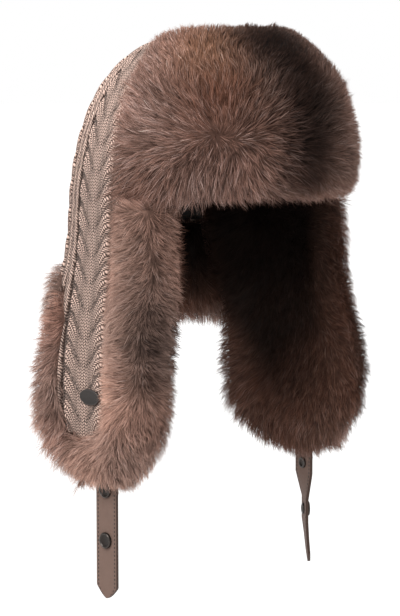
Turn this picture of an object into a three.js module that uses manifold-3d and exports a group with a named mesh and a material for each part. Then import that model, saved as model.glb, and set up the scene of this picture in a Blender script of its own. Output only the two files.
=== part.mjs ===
// Ushanka: cable-knit crown and ear panels, deep fur trims, suede straps with snaps.
// Millimetres, +Z up. The face looks along -Y and the wearer's right side is -X.
// The origin is the inside top of the crown, where a head carries the hat.
import * as THREE from 'three';
import { ParametricGeometry } from 'three/addons/geometries/ParametricGeometry.js';
import { mergeVertices } from 'three/addons/utils/BufferGeometryUtils.js';
import Module from 'manifold-3d';

const wasm = await Module();
wasm.setup();

// Driving dimensions

const CROWN = { halfWidth: 88, halfDepth: 108, rise: 158, topLevel: 8, roundness: 2.35 };
const BAND_LEVEL = CROWN.topLevel - CROWN.rise;
const FLAP = { plane: 105, lean: 10, flareTop: -130, flareBottom: -250, lowest: -304 };
const KNIT = { wall: 4.2, domeRings: 14, fallRings: 18 };
const INSIDE = { columns: 30, domeRings: 7, fallRings: 9 };
const LINING = { outer: -4.6, inner: -8, columns: 30, domeRings: 7, fallRings: 4 };
const CABLE = { repeats: 9, pitch: 22.5, braid: 2.2, rope: 1.8, panel: 12.5, gutter: 17,
  slope: 12, domeRun: 190, fadeOut: 0.25 };
const HOLLOW = { halfWidth: 66, front: -30, top: -60, bottom: -120 };
const BEYOND = { side: 190, front: -160, rear: 160, low: -400, middle: -60, high: 60 };
const FIT = 0.4;
const STRAP = { width: 22, thickness: 2.2, middleY: -13.4, top: -270, shoulder: -399, tip: -408,
  leftDrop: 8, hang: 106 };
const SNAP = { cap: 6.2, post: 1.7, back: 4.6, hole: 2.1, columns: 10 };
const BADGE = { length: 21.5, height: 11.8, thickness: 1.4, y: 4, z: -259, sink: 0.4 };
const SNAP_LEVELS = { upper: -326, lower: -364 };

// Side outline of the knitted panels, front to back below the brow, as y and z
const KNIT_EDGE = [
  { y: -160, z: -106 }, { y: -18, z: -106 }, { y: -13, z: -136 }, { y: -9, z: -165 },
  { y: -9, z: -192 }, { y: -19, z: -240 }, { y: -21, z: -262 }, { y: -14, z: -277 },
  { y: -1, z: -288 }, { y: 14, z: -291 }, { y: 28, z: -288 }, { y: 38, z: -276 }, { y: 41, z: -262 },
  { y: 42, z: -205 }, { y: 54, z: -184 }, { y: 76, z: -169 }, { y: 160, z: -165 },
];

// Fur of an ear flap at each level: front and rear reach, how full it is, and the
// height of the roll that crosses under the knit
const EAR_ROWS = [
  { z: -324, front: -20, rear: 6, full: 0.12, crest: 0 },
  { z: -319, front: -36, rear: 26, full: 0.42, crest: 7 },
  { z: -311, front: -49, rear: 42, full: 0.66, crest: 11 },
  { z: -299, front: -61, rear: 55, full: 0.86, crest: 8 },
  { z: -281, front: -71, rear: 63, full: 0.98, crest: 0 },
  { z: -258, front: -76, rear: 66, full: 1, crest: 0 },
  { z: -232, front: -75, rear: 65, full: 1, crest: 0 },
  { z: -204, front: -71, rear: 65, full: 0.98, crest: 0 },
  { z: -174, front: -68, rear: 64, full: 0.97, crest: 0 },
  { z: -146, front: -66, rear: 62, full: 1, crest: 0 },
  { z: -124, front: -64, rear: 62, full: 1.02, crest: 0 },
  { z: -107, front: -62, rear: 62, full: 0.95, crest: 0 },
];

// Section of an ear flap's fur: place from front to rear, and height off the knit's face
const EAR_SECTION = [
  { at: 0, off: -2 }, { at: 0.05, off: 14 }, { at: 0.16, off: 23 }, { at: 0.27, off: 20 },
  { at: 0.4, off: 7 }, { at: 0.74, off: 5 }, { at: 0.9, off: 8 }, { at: 1, off: -3 },
  { at: 0.93, off: -16 }, { at: 0.7, off: -21 }, { at: 0.36, off: -25 }, { at: 0.1, off: -20 },
];

// Section of the nape's fur: level, and height off the knit's face
const NAPE_SECTION = [
  { z: -137, off: -4.6 }, { z: -166, off: -4.6 }, { z: -166.5, off: 7 }, { z: -181, off: 11 },
  { z: -202, off: 11 }, { z: -216, off: 6 }, { z: -223, off: -7 }, { z: -214, off: -20 },
  { z: -190, off: -27 }, { z: -160, off: -24 }, { z: -138, off: -13 },
];
const NAPE = { halfTurn: 61, seamY: 60, lowest: -226 };

// The turned-up front flap: reach to each side in degrees, and depth of the fur
const BROW = { halfTurn: 87, bottom: -114, top: -1, depth: 31, seat: 3.7, seam: -114 };

// Depth of the front flap's fur from its lower edge up to its upper one
const BROW_SECTION = [
  { rise: 0, share: 0 }, { rise: 0.02, share: 0.6 }, { rise: 0.1, share: 0.9 },
  { rise: 0.24, share: 1 }, { rise: 0.44, share: 1 }, { rise: 0.64, share: 0.95 },
  { rise: 0.82, share: 0.79 }, { rise: 0.94, share: 0.55 }, { rise: 1, share: 0 },
];

const COLOURS = {
  knit: 0xa58d80, fur: 0x7d5f52, lining: 0x0c0a09, suede: 0x8c7468, gunmetal: 0x48443f,
};

// Small helpers

const radians = THREE.MathUtils.degToRad;
const clamp = THREE.MathUtils.clamp;
const smooth = (x, low, high) => THREE.MathUtils.smoothstep(x, Math.min(low, high), Math.max(low, high));
const mix = THREE.MathUtils.lerp;

// A closed geometry as a solid whose faces point out
function solid(geometry) {
  const bare = geometry.clone();
  bare.deleteAttribute('normal');
  bare.deleteAttribute('uv');
  const welded = mergeVertices(bare, 1e-3);
  const place = welded.attributes.position;
  const corners = [];
  for (let i = 0; i < welded.index.count; i += 3) {
    const [a, b, c] = [0, 1, 2].map((k) => welded.index.getX(i + k));
    if (a !== b && b !== c && c !== a) corners.push([a, b, c]);
  }
  const corner = (k) => new THREE.Vector3().fromBufferAttribute(place, k);
  const volume = corners.reduce((sum, [a, b, c]) => sum + corner(a).dot(corner(b).cross(corner(c))), 0);
  const facing = volume < 0 ? corners.map(([a, b, c]) => [a, c, b]) : corners;
  return new wasm.Manifold(new wasm.Mesh({
    numProp: 3,
    vertProperties: new Float32Array(place.array),
    triVerts: new Uint32Array(facing.flat()),
  }));
}

// Rings of points joined in order, with the first and last ring closed to their middles
function loft(rings) {
  const middle = (ring) => ring.reduce((sum, p) => sum.add(p), new THREE.Vector3())
    .divideScalar(ring.length);
  const capped = (ring) => ring.map(() => middle(ring));
  const rows = [capped(rings[0]), ...rings, capped(rings.at(-1))];
  const place = (u, v, target) => {
    const row = rows[Math.round(v * (rows.length - 1))];
    target.copy(row[Math.round(u * row.length) % row.length]);
  };
  return solid(new ParametricGeometry(place, rings[0].length, rows.length - 1));
}

function block(low, high) {
  const size = high.map((value, k) => value - low[k]);
  const middle = high.map((value, k) => (value + low[k]) / 2);
  return solid(new THREE.BoxGeometry(...size).translate(...middle));
}

// A node of the hat, from a solid and its finish
function piece(name, body, colour, roughness, metalness = 0) {
  const cut = body.getMesh();
  const geometry = new THREE.BufferGeometry();
  geometry.setAttribute('position', new THREE.BufferAttribute(new Float32Array(cut.vertProperties), 3));
  geometry.setIndex(new THREE.BufferAttribute(new Uint32Array(cut.triVerts), 1));
  geometry.computeVertexNormals();
  const material = new THREE.MeshStandardMaterial({ color: colour, roughness, metalness });
  const mesh = new THREE.Mesh(geometry, material);
  mesh.name = name;
  return mesh;
}

// The wall of the hat: every knitted, lined and furred surface is an offset of this one

// How far the ear flap's flat plane has taken over from the round crown
function flatness(y, z) {
  const down = smooth(-z, -FLAP.flareTop, -FLAP.flareBottom);
  const along = smooth(y, -104, -80) * (1 - smooth(y, 66, 100));
  return down * along;
}

// Point of the wall at a turn about Z, at a size factor and level, off the knit's face
function wallPoint(turn, factor, level, off) {
  const x = (CROWN.halfWidth + off) * Math.cos(turn) * factor;
  const y = (CROWN.halfDepth + off) * Math.sin(turn) * factor;
  const flat = flatness(y, level);
  const side = Math.sign(x) * (FLAP.plane + off);
  return new THREE.Vector3(mix(x, side, flat), y - FLAP.lean * flat, level);
}

// Descent 0 is the crown's top, 1 the widest level and 2 the lowest edge of the knit
function shellPoint(turn, descent, off) {
  if (descent > 1) {
    const level = mix(BAND_LEVEL, FLAP.lowest, descent - 1);
    return wallPoint(turn, 1, level, off);
  }
  const lift = (1 - descent) * Math.PI / 2;
  const power = 2 / CROWN.roundness;
  const level = BAND_LEVEL + (CROWN.rise + off) * Math.sin(lift) ** power;
  return wallPoint(turn, Math.max(Math.cos(lift), 0) ** power, level, off);
}

// Height of the cable pattern: nested strands between two gutters, then a thin rope
function cableRelief(turn, descent) {
  const step = 360 / CABLE.repeats;
  const turnFromPanel = THREE.MathUtils.euclideanModulo(THREE.MathUtils.radToDeg(turn) - 90 + step / 2, step);
  const across = Math.abs(turnFromPanel - step / 2);
  const fall = Math.max(descent - 1, 0) * (BAND_LEVEL - FLAP.lowest);
  const down = Math.min(descent, 1) * CABLE.domeRun + fall;
  const fade = clamp(descent / CABLE.fadeOut, 0, 1);
  if (across > CABLE.gutter) return CABLE.rope * fade;
  if (across > CABLE.panel) return 0;
  const strand = THREE.MathUtils.euclideanModulo(down / CABLE.pitch + across / CABLE.slope, 1);
  return (1 + 0.6 * across / CABLE.panel + (CABLE.braid - 1.3) * strand) * fade;
}

// A closed dome with straight skirt, off the knit's face by a plain or patterned amount
function domeSolid(columnTurns, domeRings, fallRings, off) {
  const rings = domeRings + fallRings;
  const place = (u, v, target) => {
    const turn = columnTurns[Math.round(u * columnTurns.length) % columnTurns.length];
    const row = Math.round(v * (rings + 1));
    if (row > rings) {
      target.set(0, 0, FLAP.lowest);
      return;
    }
    const descent = row <= domeRings ? row / domeRings : 1 + (row - domeRings) / fallRings;
    const around = row === 0 ? 0 : turn;
    target.copy(shellPoint(around, descent, off(around, descent)));
  };
  return solid(new ParametricGeometry(place, columnTurns.length, rings + 1));
}

const evenTurns = (count) => Array.from({ length: count }, (_, k) => radians(360 * k / count));

// Turns of the knit's columns, set on the gutters, strands and ropes of the pattern
function patternTurns() {
  const within = [0, 5.5, 10.8, 14.2, 20, 25.8, 29.2, 34.5];
  const turns = [];
  for (let repeat = 0; repeat < CABLE.repeats; repeat += 1) {
    for (const step of within) turns.push(radians(90 + repeat * 360 / CABLE.repeats + step));
  }
  return turns;
}

// Side outline pushed through the hat along X, grown by a clearance
function sidePrism(edge, grow) {
  const outline = new THREE.Shape();
  outline.moveTo(BEYOND.front - grow, BEYOND.high);
  for (const [k, { y, z }] of edge.entries()) {
    const before = edge[Math.max(k - 1, 0)];
    const after = edge[Math.min(k + 1, edge.length - 1)];
    const run = new THREE.Vector2(after.y - before.y, after.z - before.z).normalize();
    outline.lineTo(y + run.y * grow, z - run.x * grow);
  }
  outline.lineTo(BEYOND.rear + grow, BEYOND.high);
  outline.closePath();
  const prism = new THREE.ExtrudeGeometry(outline, { depth: 2 * BEYOND.side, bevelEnabled: false });
  prism.translate(0, 0, -BEYOND.side);
  const toSide = new THREE.Matrix4().makeBasis(
    new THREE.Vector3(0, 1, 0), new THREE.Vector3(0, 0, 1), new THREE.Vector3(1, 0, 0));
  prism.applyMatrix4(toSide);
  return solid(prism);
}

// Knitted wall and its lining

// A dome that stands one plain amount off the knit's face
function plainDome(off) {
  return domeSolid(evenTurns(INSIDE.columns), INSIDE.domeRings, INSIDE.fallRings, () => off);
}

const innerOfKnit = plainDome(-KNIT.wall);
const outerOfKnit = domeSolid(patternTurns(), KNIT.domeRings, KNIT.fallRings, cableRelief);

function knitShell() {
  return outerOfKnit.subtract(innerOfKnit).intersect(sidePrism(KNIT_EDGE, 0));
}

// All that the knit's edge and thickness take from the fur behind and around it
function knitSeat() {
  return sidePrism(KNIT_EDGE, FIT).subtract(plainDome(-KNIT.wall - FIT));
}

const LINING_EDGE = [
  { y: -160, z: -101 }, { y: -58, z: -101 }, { y: -52, z: -105.5 }, { y: 60.2, z: -105.5 },
  { y: 60.6, z: -135 }, { y: 160, z: -135 },
];

function crownLining() {
  const turns = evenTurns(LINING.columns);
  const outer = domeSolid(turns, LINING.domeRings, LINING.fallRings, () => LINING.outer - FIT);
  const inner = domeSolid(turns, LINING.domeRings, LINING.fallRings, () => LINING.inner);
  return outer.subtract(inner).intersect(sidePrism(LINING_EDGE, 0));
}

// Fur

// A lock of fur: a flat cone with a bent tip, rooted under a surface and lying along a flow
function lock(root, flow, normal, length, width, thickness) {
  const cone = new THREE.ConeGeometry(0.5, 1, 4, 2, false).translate(0, 0.5, 0);
  const place = cone.attributes.position;
  for (let k = 0; k < place.count; k += 1) {
    const along = place.getY(k);
    place.setZ(k, place.getZ(k) * thickness + along * (1 - along) * 0.35 * length * 0.6);
    place.setX(k, place.getX(k) * width * (along > 0.4 && along < 0.6 ? 1.5 : 1));
    place.setY(k, along * length);
  }
  const ahead = flow.clone().normalize();
  const across = new THREE.Vector3().crossVectors(ahead, normal).normalize();
  const up = new THREE.Vector3().crossVectors(across, ahead).normalize();
  cone.applyMatrix4(new THREE.Matrix4().makeBasis(across, ahead, up));
  cone.translate(root.x, root.y, root.z);
  return solid(cone);
}

// Descents of the front flap's lower and upper edges, from the levels they lie at
function descentAt(z) {
  const share = ((z - BAND_LEVEL) / CROWN.rise) ** (CROWN.roundness / 2);
  return 1 - Math.asin(share) * 2 / Math.PI;
}

const browDescent = { bottom: descentAt(BROW.bottom), top: descentAt(BROW.top) };

// Point of the front flap's fur, by turn from the front in degrees and rise from the brow
function browPoint(side, rise, share) {
  const turn = radians(270 + side);
  const descent = mix(browDescent.bottom, browDescent.top, rise);
  const width = Math.sqrt(Math.max(1 - Math.abs(side / BROW.halfTurn) ** 3.4, 0));
  const swell = browSwell(rise);
  return shellPoint(turn, descent, BROW.seat + BROW.depth * width * swell * share + 0.3 * share);
}

function browSwell(rise) {
  const above = Math.max(BROW_SECTION.findIndex((stop) => stop.rise >= rise), 1);
  const [low, high] = [BROW_SECTION[above - 1], BROW_SECTION[above]];
  return mix(low.share, high.share, clamp((rise - low.rise) / (high.rise - low.rise), 0, 1));
}

function surfaceNormal(point, a, b, step) {
  const here = point(a, b);
  const one = point(a + step[0], b).sub(here);
  const two = point(a, b + step[1]).sub(here);
  const normal = one.cross(two).normalize();
  const outward = new THREE.Vector3(here.x, here.y, 0).normalize();
  return normal.dot(outward) < 0 ? normal.negate() : normal;
}

// The hair of the front flap parts at a whorl low on each side of the middle
function browFlow(side, rise) {
  const sway = side / 60;
  const climb = (rise - 0.42) * 2.2;
  const here = browPoint(side, rise, 1);
  const aside = browPoint(side + 2, rise, 1).sub(here).normalize();
  const upward = browPoint(side, rise + 0.03, 1).sub(here).normalize();
  return aside.multiplyScalar(sway).add(upward.multiplyScalar(climb)).normalize();
}

function frontFlapFur() {
  const outline = BROW_SECTION.map((stop) => stop.rise);
  const rings = [];
  const turns = 20;
  for (let k = 0; k <= turns; k += 1) {
    const side = mix(-BROW.halfTurn, BROW.halfTurn, k / turns) * 0.985;
    const outer = outline.map((rise) => browPoint(side, rise, 1));
    const inner = [0.8, 0.5, 0.2].map((rise) => browPoint(side, rise, -0.25));
    rings.push([...outer, ...inner]);
  }
  let fur = loft(rings);
  const point = (side, rise) => browPoint(side, rise, 1);
  const rows = [0.05, 0.26, 0.5, 0.74, 0.9];
  for (const [row, rise] of rows.entries()) {
    const stagger = row % 2 ? 9 : 0;
    for (let side = -72 + stagger; side <= 73; side += 18) {
      const normal = surfaceNormal(point, side, rise, [1, 0.01]);
      const edge = rise < 0.1 || rise > 0.85;
      const flow = browFlow(side, rise).addScaledVector(normal, edge ? 0 : 0.12);
      const root = point(side, rise).addScaledVector(normal, -4.5);
      const length = edge ? 17 : 27;
      fur = fur.add(lock(root, flow, normal, length, 19, 9));
    }
  }
  const underSides = block(
    [HOLLOW.halfWidth, BEYOND.front, BEYOND.low], [BEYOND.side, BEYOND.high, BROW.seam],
  ).add(block(
    [-BEYOND.side, BEYOND.front, BEYOND.low], [-HOLLOW.halfWidth, BEYOND.high, BROW.seam]));
  const underneath = domeSolid(evenTurns(INSIDE.columns), 10, 3, () => BROW.seat);
  return fur.subtract(underSides).subtract(underneath);
}

// Point of an ear flap's fur: sideways is -1 on the wearer's right and 1 on the left
function earPoint(sideways, row, station, off) {
  const y = mix(row.front, row.rear, station);
  const onCrown = clamp(y / CROWN.halfDepth, -1, 1);
  const round = CROWN.halfWidth * Math.sqrt(1 - onCrown * onCrown);
  const flat = flatness(y + FLAP.lean * 0.5, row.z);
  const frontFill = 15 * smooth(-y, 10, 60) * (1 - flat);
  return new THREE.Vector3(sideways * (mix(round + frontFill, FLAP.plane, flat) + off), y, row.z);
}

// Row of the ear fur's table at any level
function earRow(z) {
  const above = Math.max(EAR_ROWS.findIndex((row) => row.z >= z), 1);
  const [low, high] = [EAR_ROWS[above - 1], EAR_ROWS[above]];
  const share = clamp((z - low.z) / (high.z - low.z), 0, 1);
  return {
    z,
    front: mix(low.front, high.front, share),
    rear: mix(low.rear, high.rear, share),
    full: mix(low.full, high.full, share),
    crest: mix(low.crest, high.crest, share),
  };
}

// Height of the ear fur's outer face off the knit's face, from front to rear
function earHeight(station) {
  const outer = EAR_SECTION.slice(0, 8);
  const after = Math.max(outer.findIndex((stop) => stop.at >= station), 1);
  const [low, high] = [outer[after - 1], outer[after]];
  return mix(low.off, high.off, (station - low.at) / (high.at - low.at));
}

function earFur(sideways) {
  const middle = -3;
  const crestAt = (at, off) => (off > 0 ? smooth(at, 0.2, 0.4) * (1 - smooth(at, 0.7, 0.95)) : 0);
  const swell = (at, off, row) => middle + (off - middle) * row.full + row.crest * crestAt(at, off);
  const rings = EAR_ROWS.map((row) => EAR_SECTION.map(
    ({ at, off }) => earPoint(sideways, row, at, swell(at, off, row))));
  let fur = loft(rings);
  const addLock = (z, station, flow, length, width) => {
    const row = earRow(z);
    const height = swell(station, earHeight(station), row);
    const root = earPoint(sideways, row, station, height - 4);
    const normal = new THREE.Vector3(sideways, 0, 0);
    const way = new THREE.Vector3(sideways * flow[0], flow[1], flow[2]);
    fur = fur.add(lock(root, way, normal, length, width, 8));
  };
  for (let z = -134; z > -300; z -= 32) {
    addLock(z, 0.26, [0.25, -0.35, -1], 27, 17);
    addLock(z - 16, 0.08, [-0.05, -1, -1.2], 17, 17);
  }
  for (let z = -238; z > -300; z -= 20) {
    addLock(z, 0.96, [0.1, 1, -0.8], 16, 15);
  }
  for (const [station, z] of [[0.2, -303], [0.4, -311], [0.6, -312], [0.8, -303]]) {
    addLock(z, station, [0.1, (station - 0.5) * 1.6, -1], 19, 17);
  }
  const napeSide = block(
    [-BEYOND.side, NAPE.seamY - FIT / 2, NAPE.lowest - 2 * FIT],
    [BEYOND.side, BEYOND.rear, BEYOND.middle]);
  const brow = block(
    [-BEYOND.side, BEYOND.front, BROW.seam - FIT], [BEYOND.side, BEYOND.rear, BEYOND.middle]);
  const hollow = block(
    [-HOLLOW.halfWidth, BEYOND.front, HOLLOW.bottom],
    [HOLLOW.halfWidth, HOLLOW.front, HOLLOW.top]);
  const pocket = strapSolid(sideways, FIT);
  return fur.subtract(knitSeat()).subtract(napeSide).subtract(brow).subtract(hollow).subtract(pocket);
}

function napeFur() {
  const rings = [];
  const turns = 14;
  for (let k = 0; k <= turns; k += 1) {
    const turn = radians(90 + mix(-NAPE.halfTurn, NAPE.halfTurn, k / turns));
    rings.push(NAPE_SECTION.map(({ z, off }) => wallPoint(turn, 1, z, off)));
  }
  let fur = loft(rings);
  for (let side = -36; side <= 36; side += 12) {
    const turn = radians(90 + side);
    const outward = new THREE.Vector3(Math.cos(turn), Math.sin(turn), 0);
    const down = new THREE.Vector3(0, 0, -1);
    const upper = wallPoint(turn, 1, -180, 8);
    fur = fur.add(lock(upper, down.clone().addScaledVector(outward, 0.3), outward, 24, 14, 8));
    const lower = wallPoint(radians(90 + side * 0.92), 1, -206, 2);
    fur = fur.add(lock(lower, down.clone().addScaledVector(outward, 0.1), outward, 21, 15, 8));
  }
  const front = block(
    [-BEYOND.side, BEYOND.front, BEYOND.low], [BEYOND.side, NAPE.seamY + FIT / 2, BEYOND.high]);
  return fur.subtract(front).subtract(knitSeat());
}

// Straps, snaps and badge

// How a strap hangs at each level: its distance from the middle plane, then for the left
// strap alone its turn in degrees and its lean, both steady where a snap sits
const STRAP_SEWN = FLAP.plane - KNIT.wall - FIT - STRAP.thickness / 2;
const STRAP_HANG = [
  { z: STRAP.top, out: STRAP_SEWN, turn: 0, lean: 0 },
  { z: -291, out: STRAP_SEWN, turn: 0, lean: 0 },
  { z: -305, out: 102.5, turn: 6, lean: 0 },
  { z: -318, out: STRAP.hang, turn: 14, lean: 0 },
  { z: -334, out: STRAP.hang, turn: 14, lean: 0 },
  { z: -345, out: STRAP.hang, turn: 27, lean: 0.5 },
  { z: -355, out: STRAP.hang, turn: 38, lean: 1 },
  { z: -373, out: STRAP.hang, turn: 38, lean: 1 },
  { z: -386, out: STRAP.hang, turn: 41, lean: 2.2 },
  { z: STRAP.shoulder, out: STRAP.hang, turn: 42, lean: 3.4 },
  { z: STRAP.tip, out: STRAP.hang, turn: 42, lean: 4.2 },
];

// Middle of a strap at a level, with the ways its width and its outer face look
function strapFrame(sideways, z) {
  const below = Math.max(STRAP_HANG.findIndex((stop) => stop.z <= z), 1);
  const [high, low] = [STRAP_HANG[below - 1], STRAP_HANG[below]];
  const between = (key) => mix(high[key], low[key], clamp((z - high.z) / (low.z - high.z), 0, 1));
  const loose = sideways < 0 ? 0 : 1;
  const twist = radians(between('turn')) * loose;
  const lean = between('lean') * loose;
  const middle = new THREE.Vector3(
    sideways * (between('out') + lean), STRAP.middleY - lean / 2, z - STRAP.leftDrop * loose);
  const along = new THREE.Vector3(Math.sin(twist), Math.cos(twist), 0);
  const face = new THREE.Vector3(Math.cos(twist), -Math.sin(twist), 0);
  return { middle, along, face };
}

// A strap as a ribbon of sections that narrows to its tip, grown by a clearance
function strapSolid(sideways, grow) {
  const levels = STRAP_HANG.slice(0, -1).map((stop) => stop.z);
  const section = (z, half) => {
    const { middle, along, face } = strapFrame(sideways, z);
    const deep = STRAP.thickness / 2 + grow;
    return [[1, 1], [-1, 1], [-1, -1], [1, -1]].map(([a, b]) => middle.clone()
      .addScaledVector(along, a * half).addScaledVector(face, b * deep));
  };
  const half = STRAP.width / 2 + grow;
  const rings = levels.map((z, k) => section(k === 0 ? z + grow : z, half));
  rings.push(section(STRAP.tip + 3, half * 0.6));
  rings.push(section(STRAP.tip, 1));
  return loft(rings);
}

// Frame that lays a shape turned about Y on the strap, with its cap on the outer face
function onStrap(sideways, z) {
  const { middle, along, face } = strapFrame(sideways, z);
  const outward = face.clone().multiplyScalar(sideways);
  const third = new THREE.Vector3().crossVectors(along, outward);
  return new THREE.Matrix4().makeBasis(along, outward, third).setPosition(middle);
}

function strap(sideways) {
  let ribbon = strapSolid(sideways, 0);
  for (const z of Object.values(SNAP_LEVELS)) {
    const drill = new THREE.CylinderGeometry(SNAP.hole, SNAP.hole, 8, SNAP.columns);
    ribbon = ribbon.subtract(solid(drill.applyMatrix4(onStrap(sideways, z))));
  }
  return ribbon;
}

function snap(sideways, z) {
  const face = STRAP.thickness / 2 + 0.35;
  const profile = [
    [0, face + 2.4], [4.2, face + 2], [SNAP.cap, face + 0.5], [SNAP.cap, face], [SNAP.post, face],
    [SNAP.post, -face], [SNAP.back, -face], [SNAP.back - 0.6, -face - 1.6], [2.2, -face - 1.6],
    [1.6, -face - 0.5], [0, -face - 0.5],
  ].map(([r, h]) => new THREE.Vector2(r, h));
  const turned = new THREE.LatheGeometry(profile, SNAP.columns);
  return solid(turned.applyMatrix4(onStrap(sideways, z)));
}

// An upper snap lies half in the fur, which keeps clear of it
function snapRoom(sideways) {
  const room = new THREE.CylinderGeometry(SNAP.cap + 0.6, SNAP.cap + 0.6, 9, SNAP.columns);
  return solid(room.applyMatrix4(onStrap(sideways, SNAP_LEVELS.upper)));
}

// Plain oval plate, standing on the panel between the strands
function badgeSolid(grow) {
  const plate = new THREE.CylinderGeometry(0.5, 0.5, 1, 24);
  plate.rotateZ(Math.PI / 2);
  const thickness = BADGE.thickness + 2 * grow;
  plate.scale(thickness, BADGE.length + 2 * grow, BADGE.height + 2 * grow);
  const x = FLAP.plane + CABLE.braid + BADGE.thickness / 2 - BADGE.sink;
  return solid(plate.translate(-x, BADGE.y, BADGE.z));
}

// The hat

const hat = new THREE.Group();
hat.name = 'ushanka';

const crown = new THREE.Group();
crown.add(piece('knit_shell', knitShell().subtract(badgeSolid(FIT)), COLOURS.knit, 0.95));
crown.add(piece('crown_lining', crownLining(), COLOURS.lining, 0.9));
crown.add(piece('badge', badgeSolid(0), COLOURS.gunmetal, 0.4, 1));
hat.add(crown);

const trims = new THREE.Group();
trims.add(piece('front_flap_fur', frontFlapFur(), COLOURS.fur, 1));
trims.add(piece('nape_fur', napeFur(), COLOURS.fur, 1));
hat.add(trims);

for (const [hand, sideways] of [['right', -1], ['left', 1]]) {
  const flap = new THREE.Group();
  flap.add(piece(`ear_fur_${hand}`, earFur(sideways).subtract(snapRoom(sideways)), COLOURS.fur, 1));
  flap.add(piece(`strap_${hand}`, strap(sideways), COLOURS.suede, 0.9));
  for (const [place, z] of Object.entries(SNAP_LEVELS)) {
    flap.add(piece(`snap_${hand}_${place}`, snap(sideways, z), COLOURS.gunmetal, 0.35, 1));
  }
  hat.add(flap);
}

export default hat;
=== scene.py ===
"""A cable-knit trapper hat with deep fur trims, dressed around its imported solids.

The hat hangs as a head holds it. Lengths are in metres, +Z is up, the face looks along -Y and the
wearer's right side is -X. Near means the wearer's right flap, which the camera sees from outside.
"""

import logging
import math
from dataclasses import dataclass, field
from enum import Enum
from typing import Callable, Sequence

import bmesh
import bpy
import numpy as np
from mathutils import Matrix, Vector
from mathutils.bvhtree import BVHTree
from mathutils.kdtree import KDTree


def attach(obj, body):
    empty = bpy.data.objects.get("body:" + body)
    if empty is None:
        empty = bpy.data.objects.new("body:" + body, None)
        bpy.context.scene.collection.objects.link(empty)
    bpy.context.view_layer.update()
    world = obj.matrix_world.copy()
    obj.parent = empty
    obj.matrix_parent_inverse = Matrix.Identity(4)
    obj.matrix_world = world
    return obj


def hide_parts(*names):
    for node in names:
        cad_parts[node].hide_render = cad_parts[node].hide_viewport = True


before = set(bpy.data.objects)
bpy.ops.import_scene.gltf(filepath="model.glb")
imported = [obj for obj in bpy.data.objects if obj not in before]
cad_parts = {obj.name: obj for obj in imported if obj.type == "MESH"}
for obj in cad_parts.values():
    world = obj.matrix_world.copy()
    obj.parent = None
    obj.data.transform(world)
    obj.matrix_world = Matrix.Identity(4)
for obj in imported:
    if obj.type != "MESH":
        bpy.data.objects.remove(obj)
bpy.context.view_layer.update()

LOG = logging.getLogger("hat")
MM = 0.001
BODY = "root"
FULL_TURN = 360.0
TINY = 1e-9
WHITE = (1.0, 1.0, 1.0)

Array = np.ndarray
Socket = bpy.types.NodeSocket
Span = tuple[float, float]
Tint = tuple[float, float, float]


class Side(Enum):
    """The wearer's hand that a piece belongs to, as the sign of its X."""

    RIGHT = -1
    LEFT = 1


def smooth(value: Array, low: float, high: float) -> Array:
    """Rise softly from 0 at low to 1 at high, which may also be the smaller of the two.

    Args:
        value: Numbers to weigh.
        low: Where the rise starts.
        high: Where the rise ends.

    Returns:
        A share from 0 to 1 for each number.
    """
    share = np.clip((value - low) / (high - low), 0.0, 1.0)
    return share * share * (3.0 - 2.0 * share)


def unit(ways: Array) -> Array:
    """Scale each row to length one."""
    return ways / np.maximum(np.linalg.norm(ways, axis=-1, keepdims=True), TINY)


def mesh_object(name: str, mesh: bpy.types.Mesh) -> bpy.types.Object:
    """Put a mesh into the scene as an object at the origin."""
    piece = bpy.data.objects.new(name, mesh)
    bpy.context.scene.collection.objects.link(piece)
    return piece


def vectors(mesh: bpy.types.Mesh, kind: str = "co") -> Array:
    """Read each vertex's place, or its normal where the kind is normal, one a row."""
    flat = np.zeros(len(mesh.vertices) * 3)
    mesh.vertices.foreach_get(kind, flat)
    return flat.reshape(-1, 3)


def store(mesh: bpy.types.Mesh, name: str, values: Array) -> None:
    """Store a number for each vertex, which a finish reads by its name."""
    layer = mesh.attributes.new(name, "FLOAT", "POINT")
    layer.data.foreach_set("value", values.astype(np.float32))


def modify(piece: bpy.types.Object, name: str, kind: str, **settings: object) -> None:
    """Add a modifier to a piece and set its properties."""
    modifier = piece.modifiers.new(name, kind)
    for setting, value in settings.items():
        setattr(modifier, setting, value)


def bake(piece: bpy.types.Object) -> None:
    """Make what a piece's modifiers show its own mesh."""
    graph = bpy.context.evaluated_depsgraph_get()
    graph.update()
    baked = bpy.data.meshes.new_from_object(piece.evaluated_get(graph))
    piece.modifiers.clear()
    piece.data = baked


def grid(name: str, columns: int, rows: int) -> tuple[bpy.types.Mesh, Array, Array]:
    """Make a flat grid, whose vertices the caller places.

    Args:
        name: Name of the mesh.
        columns: Faces across.
        rows: Faces from bottom to top.

    Returns:
        The mesh, and each vertex's column and its height as a share.
    """
    work = bmesh.new()
    bmesh.ops.create_grid(work, x_segments=columns, y_segments=rows, size=1.0)
    mesh = bmesh_to_mesh(work, name)
    cell = (vectors(mesh)[:, :2] + 1.0) / 2.0
    return mesh, np.rint(cell[:, 0] * columns).astype(int), cell[:, 1]


def bmesh_to_mesh(work: bmesh.types.BMesh, name: str, shade_smooth: bool = True) -> bpy.types.Mesh:
    """Write a bmesh to a new mesh and free it.

    Args:
        work: The bmesh, which can't be used afterwards.
        name: Name of the mesh.
        shade_smooth: Whether its faces are shaded smooth.

    Returns:
        The new mesh.
    """
    for face in work.faces:
        face.smooth = shade_smooth
    mesh = bpy.data.meshes.new(name)
    work.to_mesh(mesh)
    work.free()
    return mesh


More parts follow.
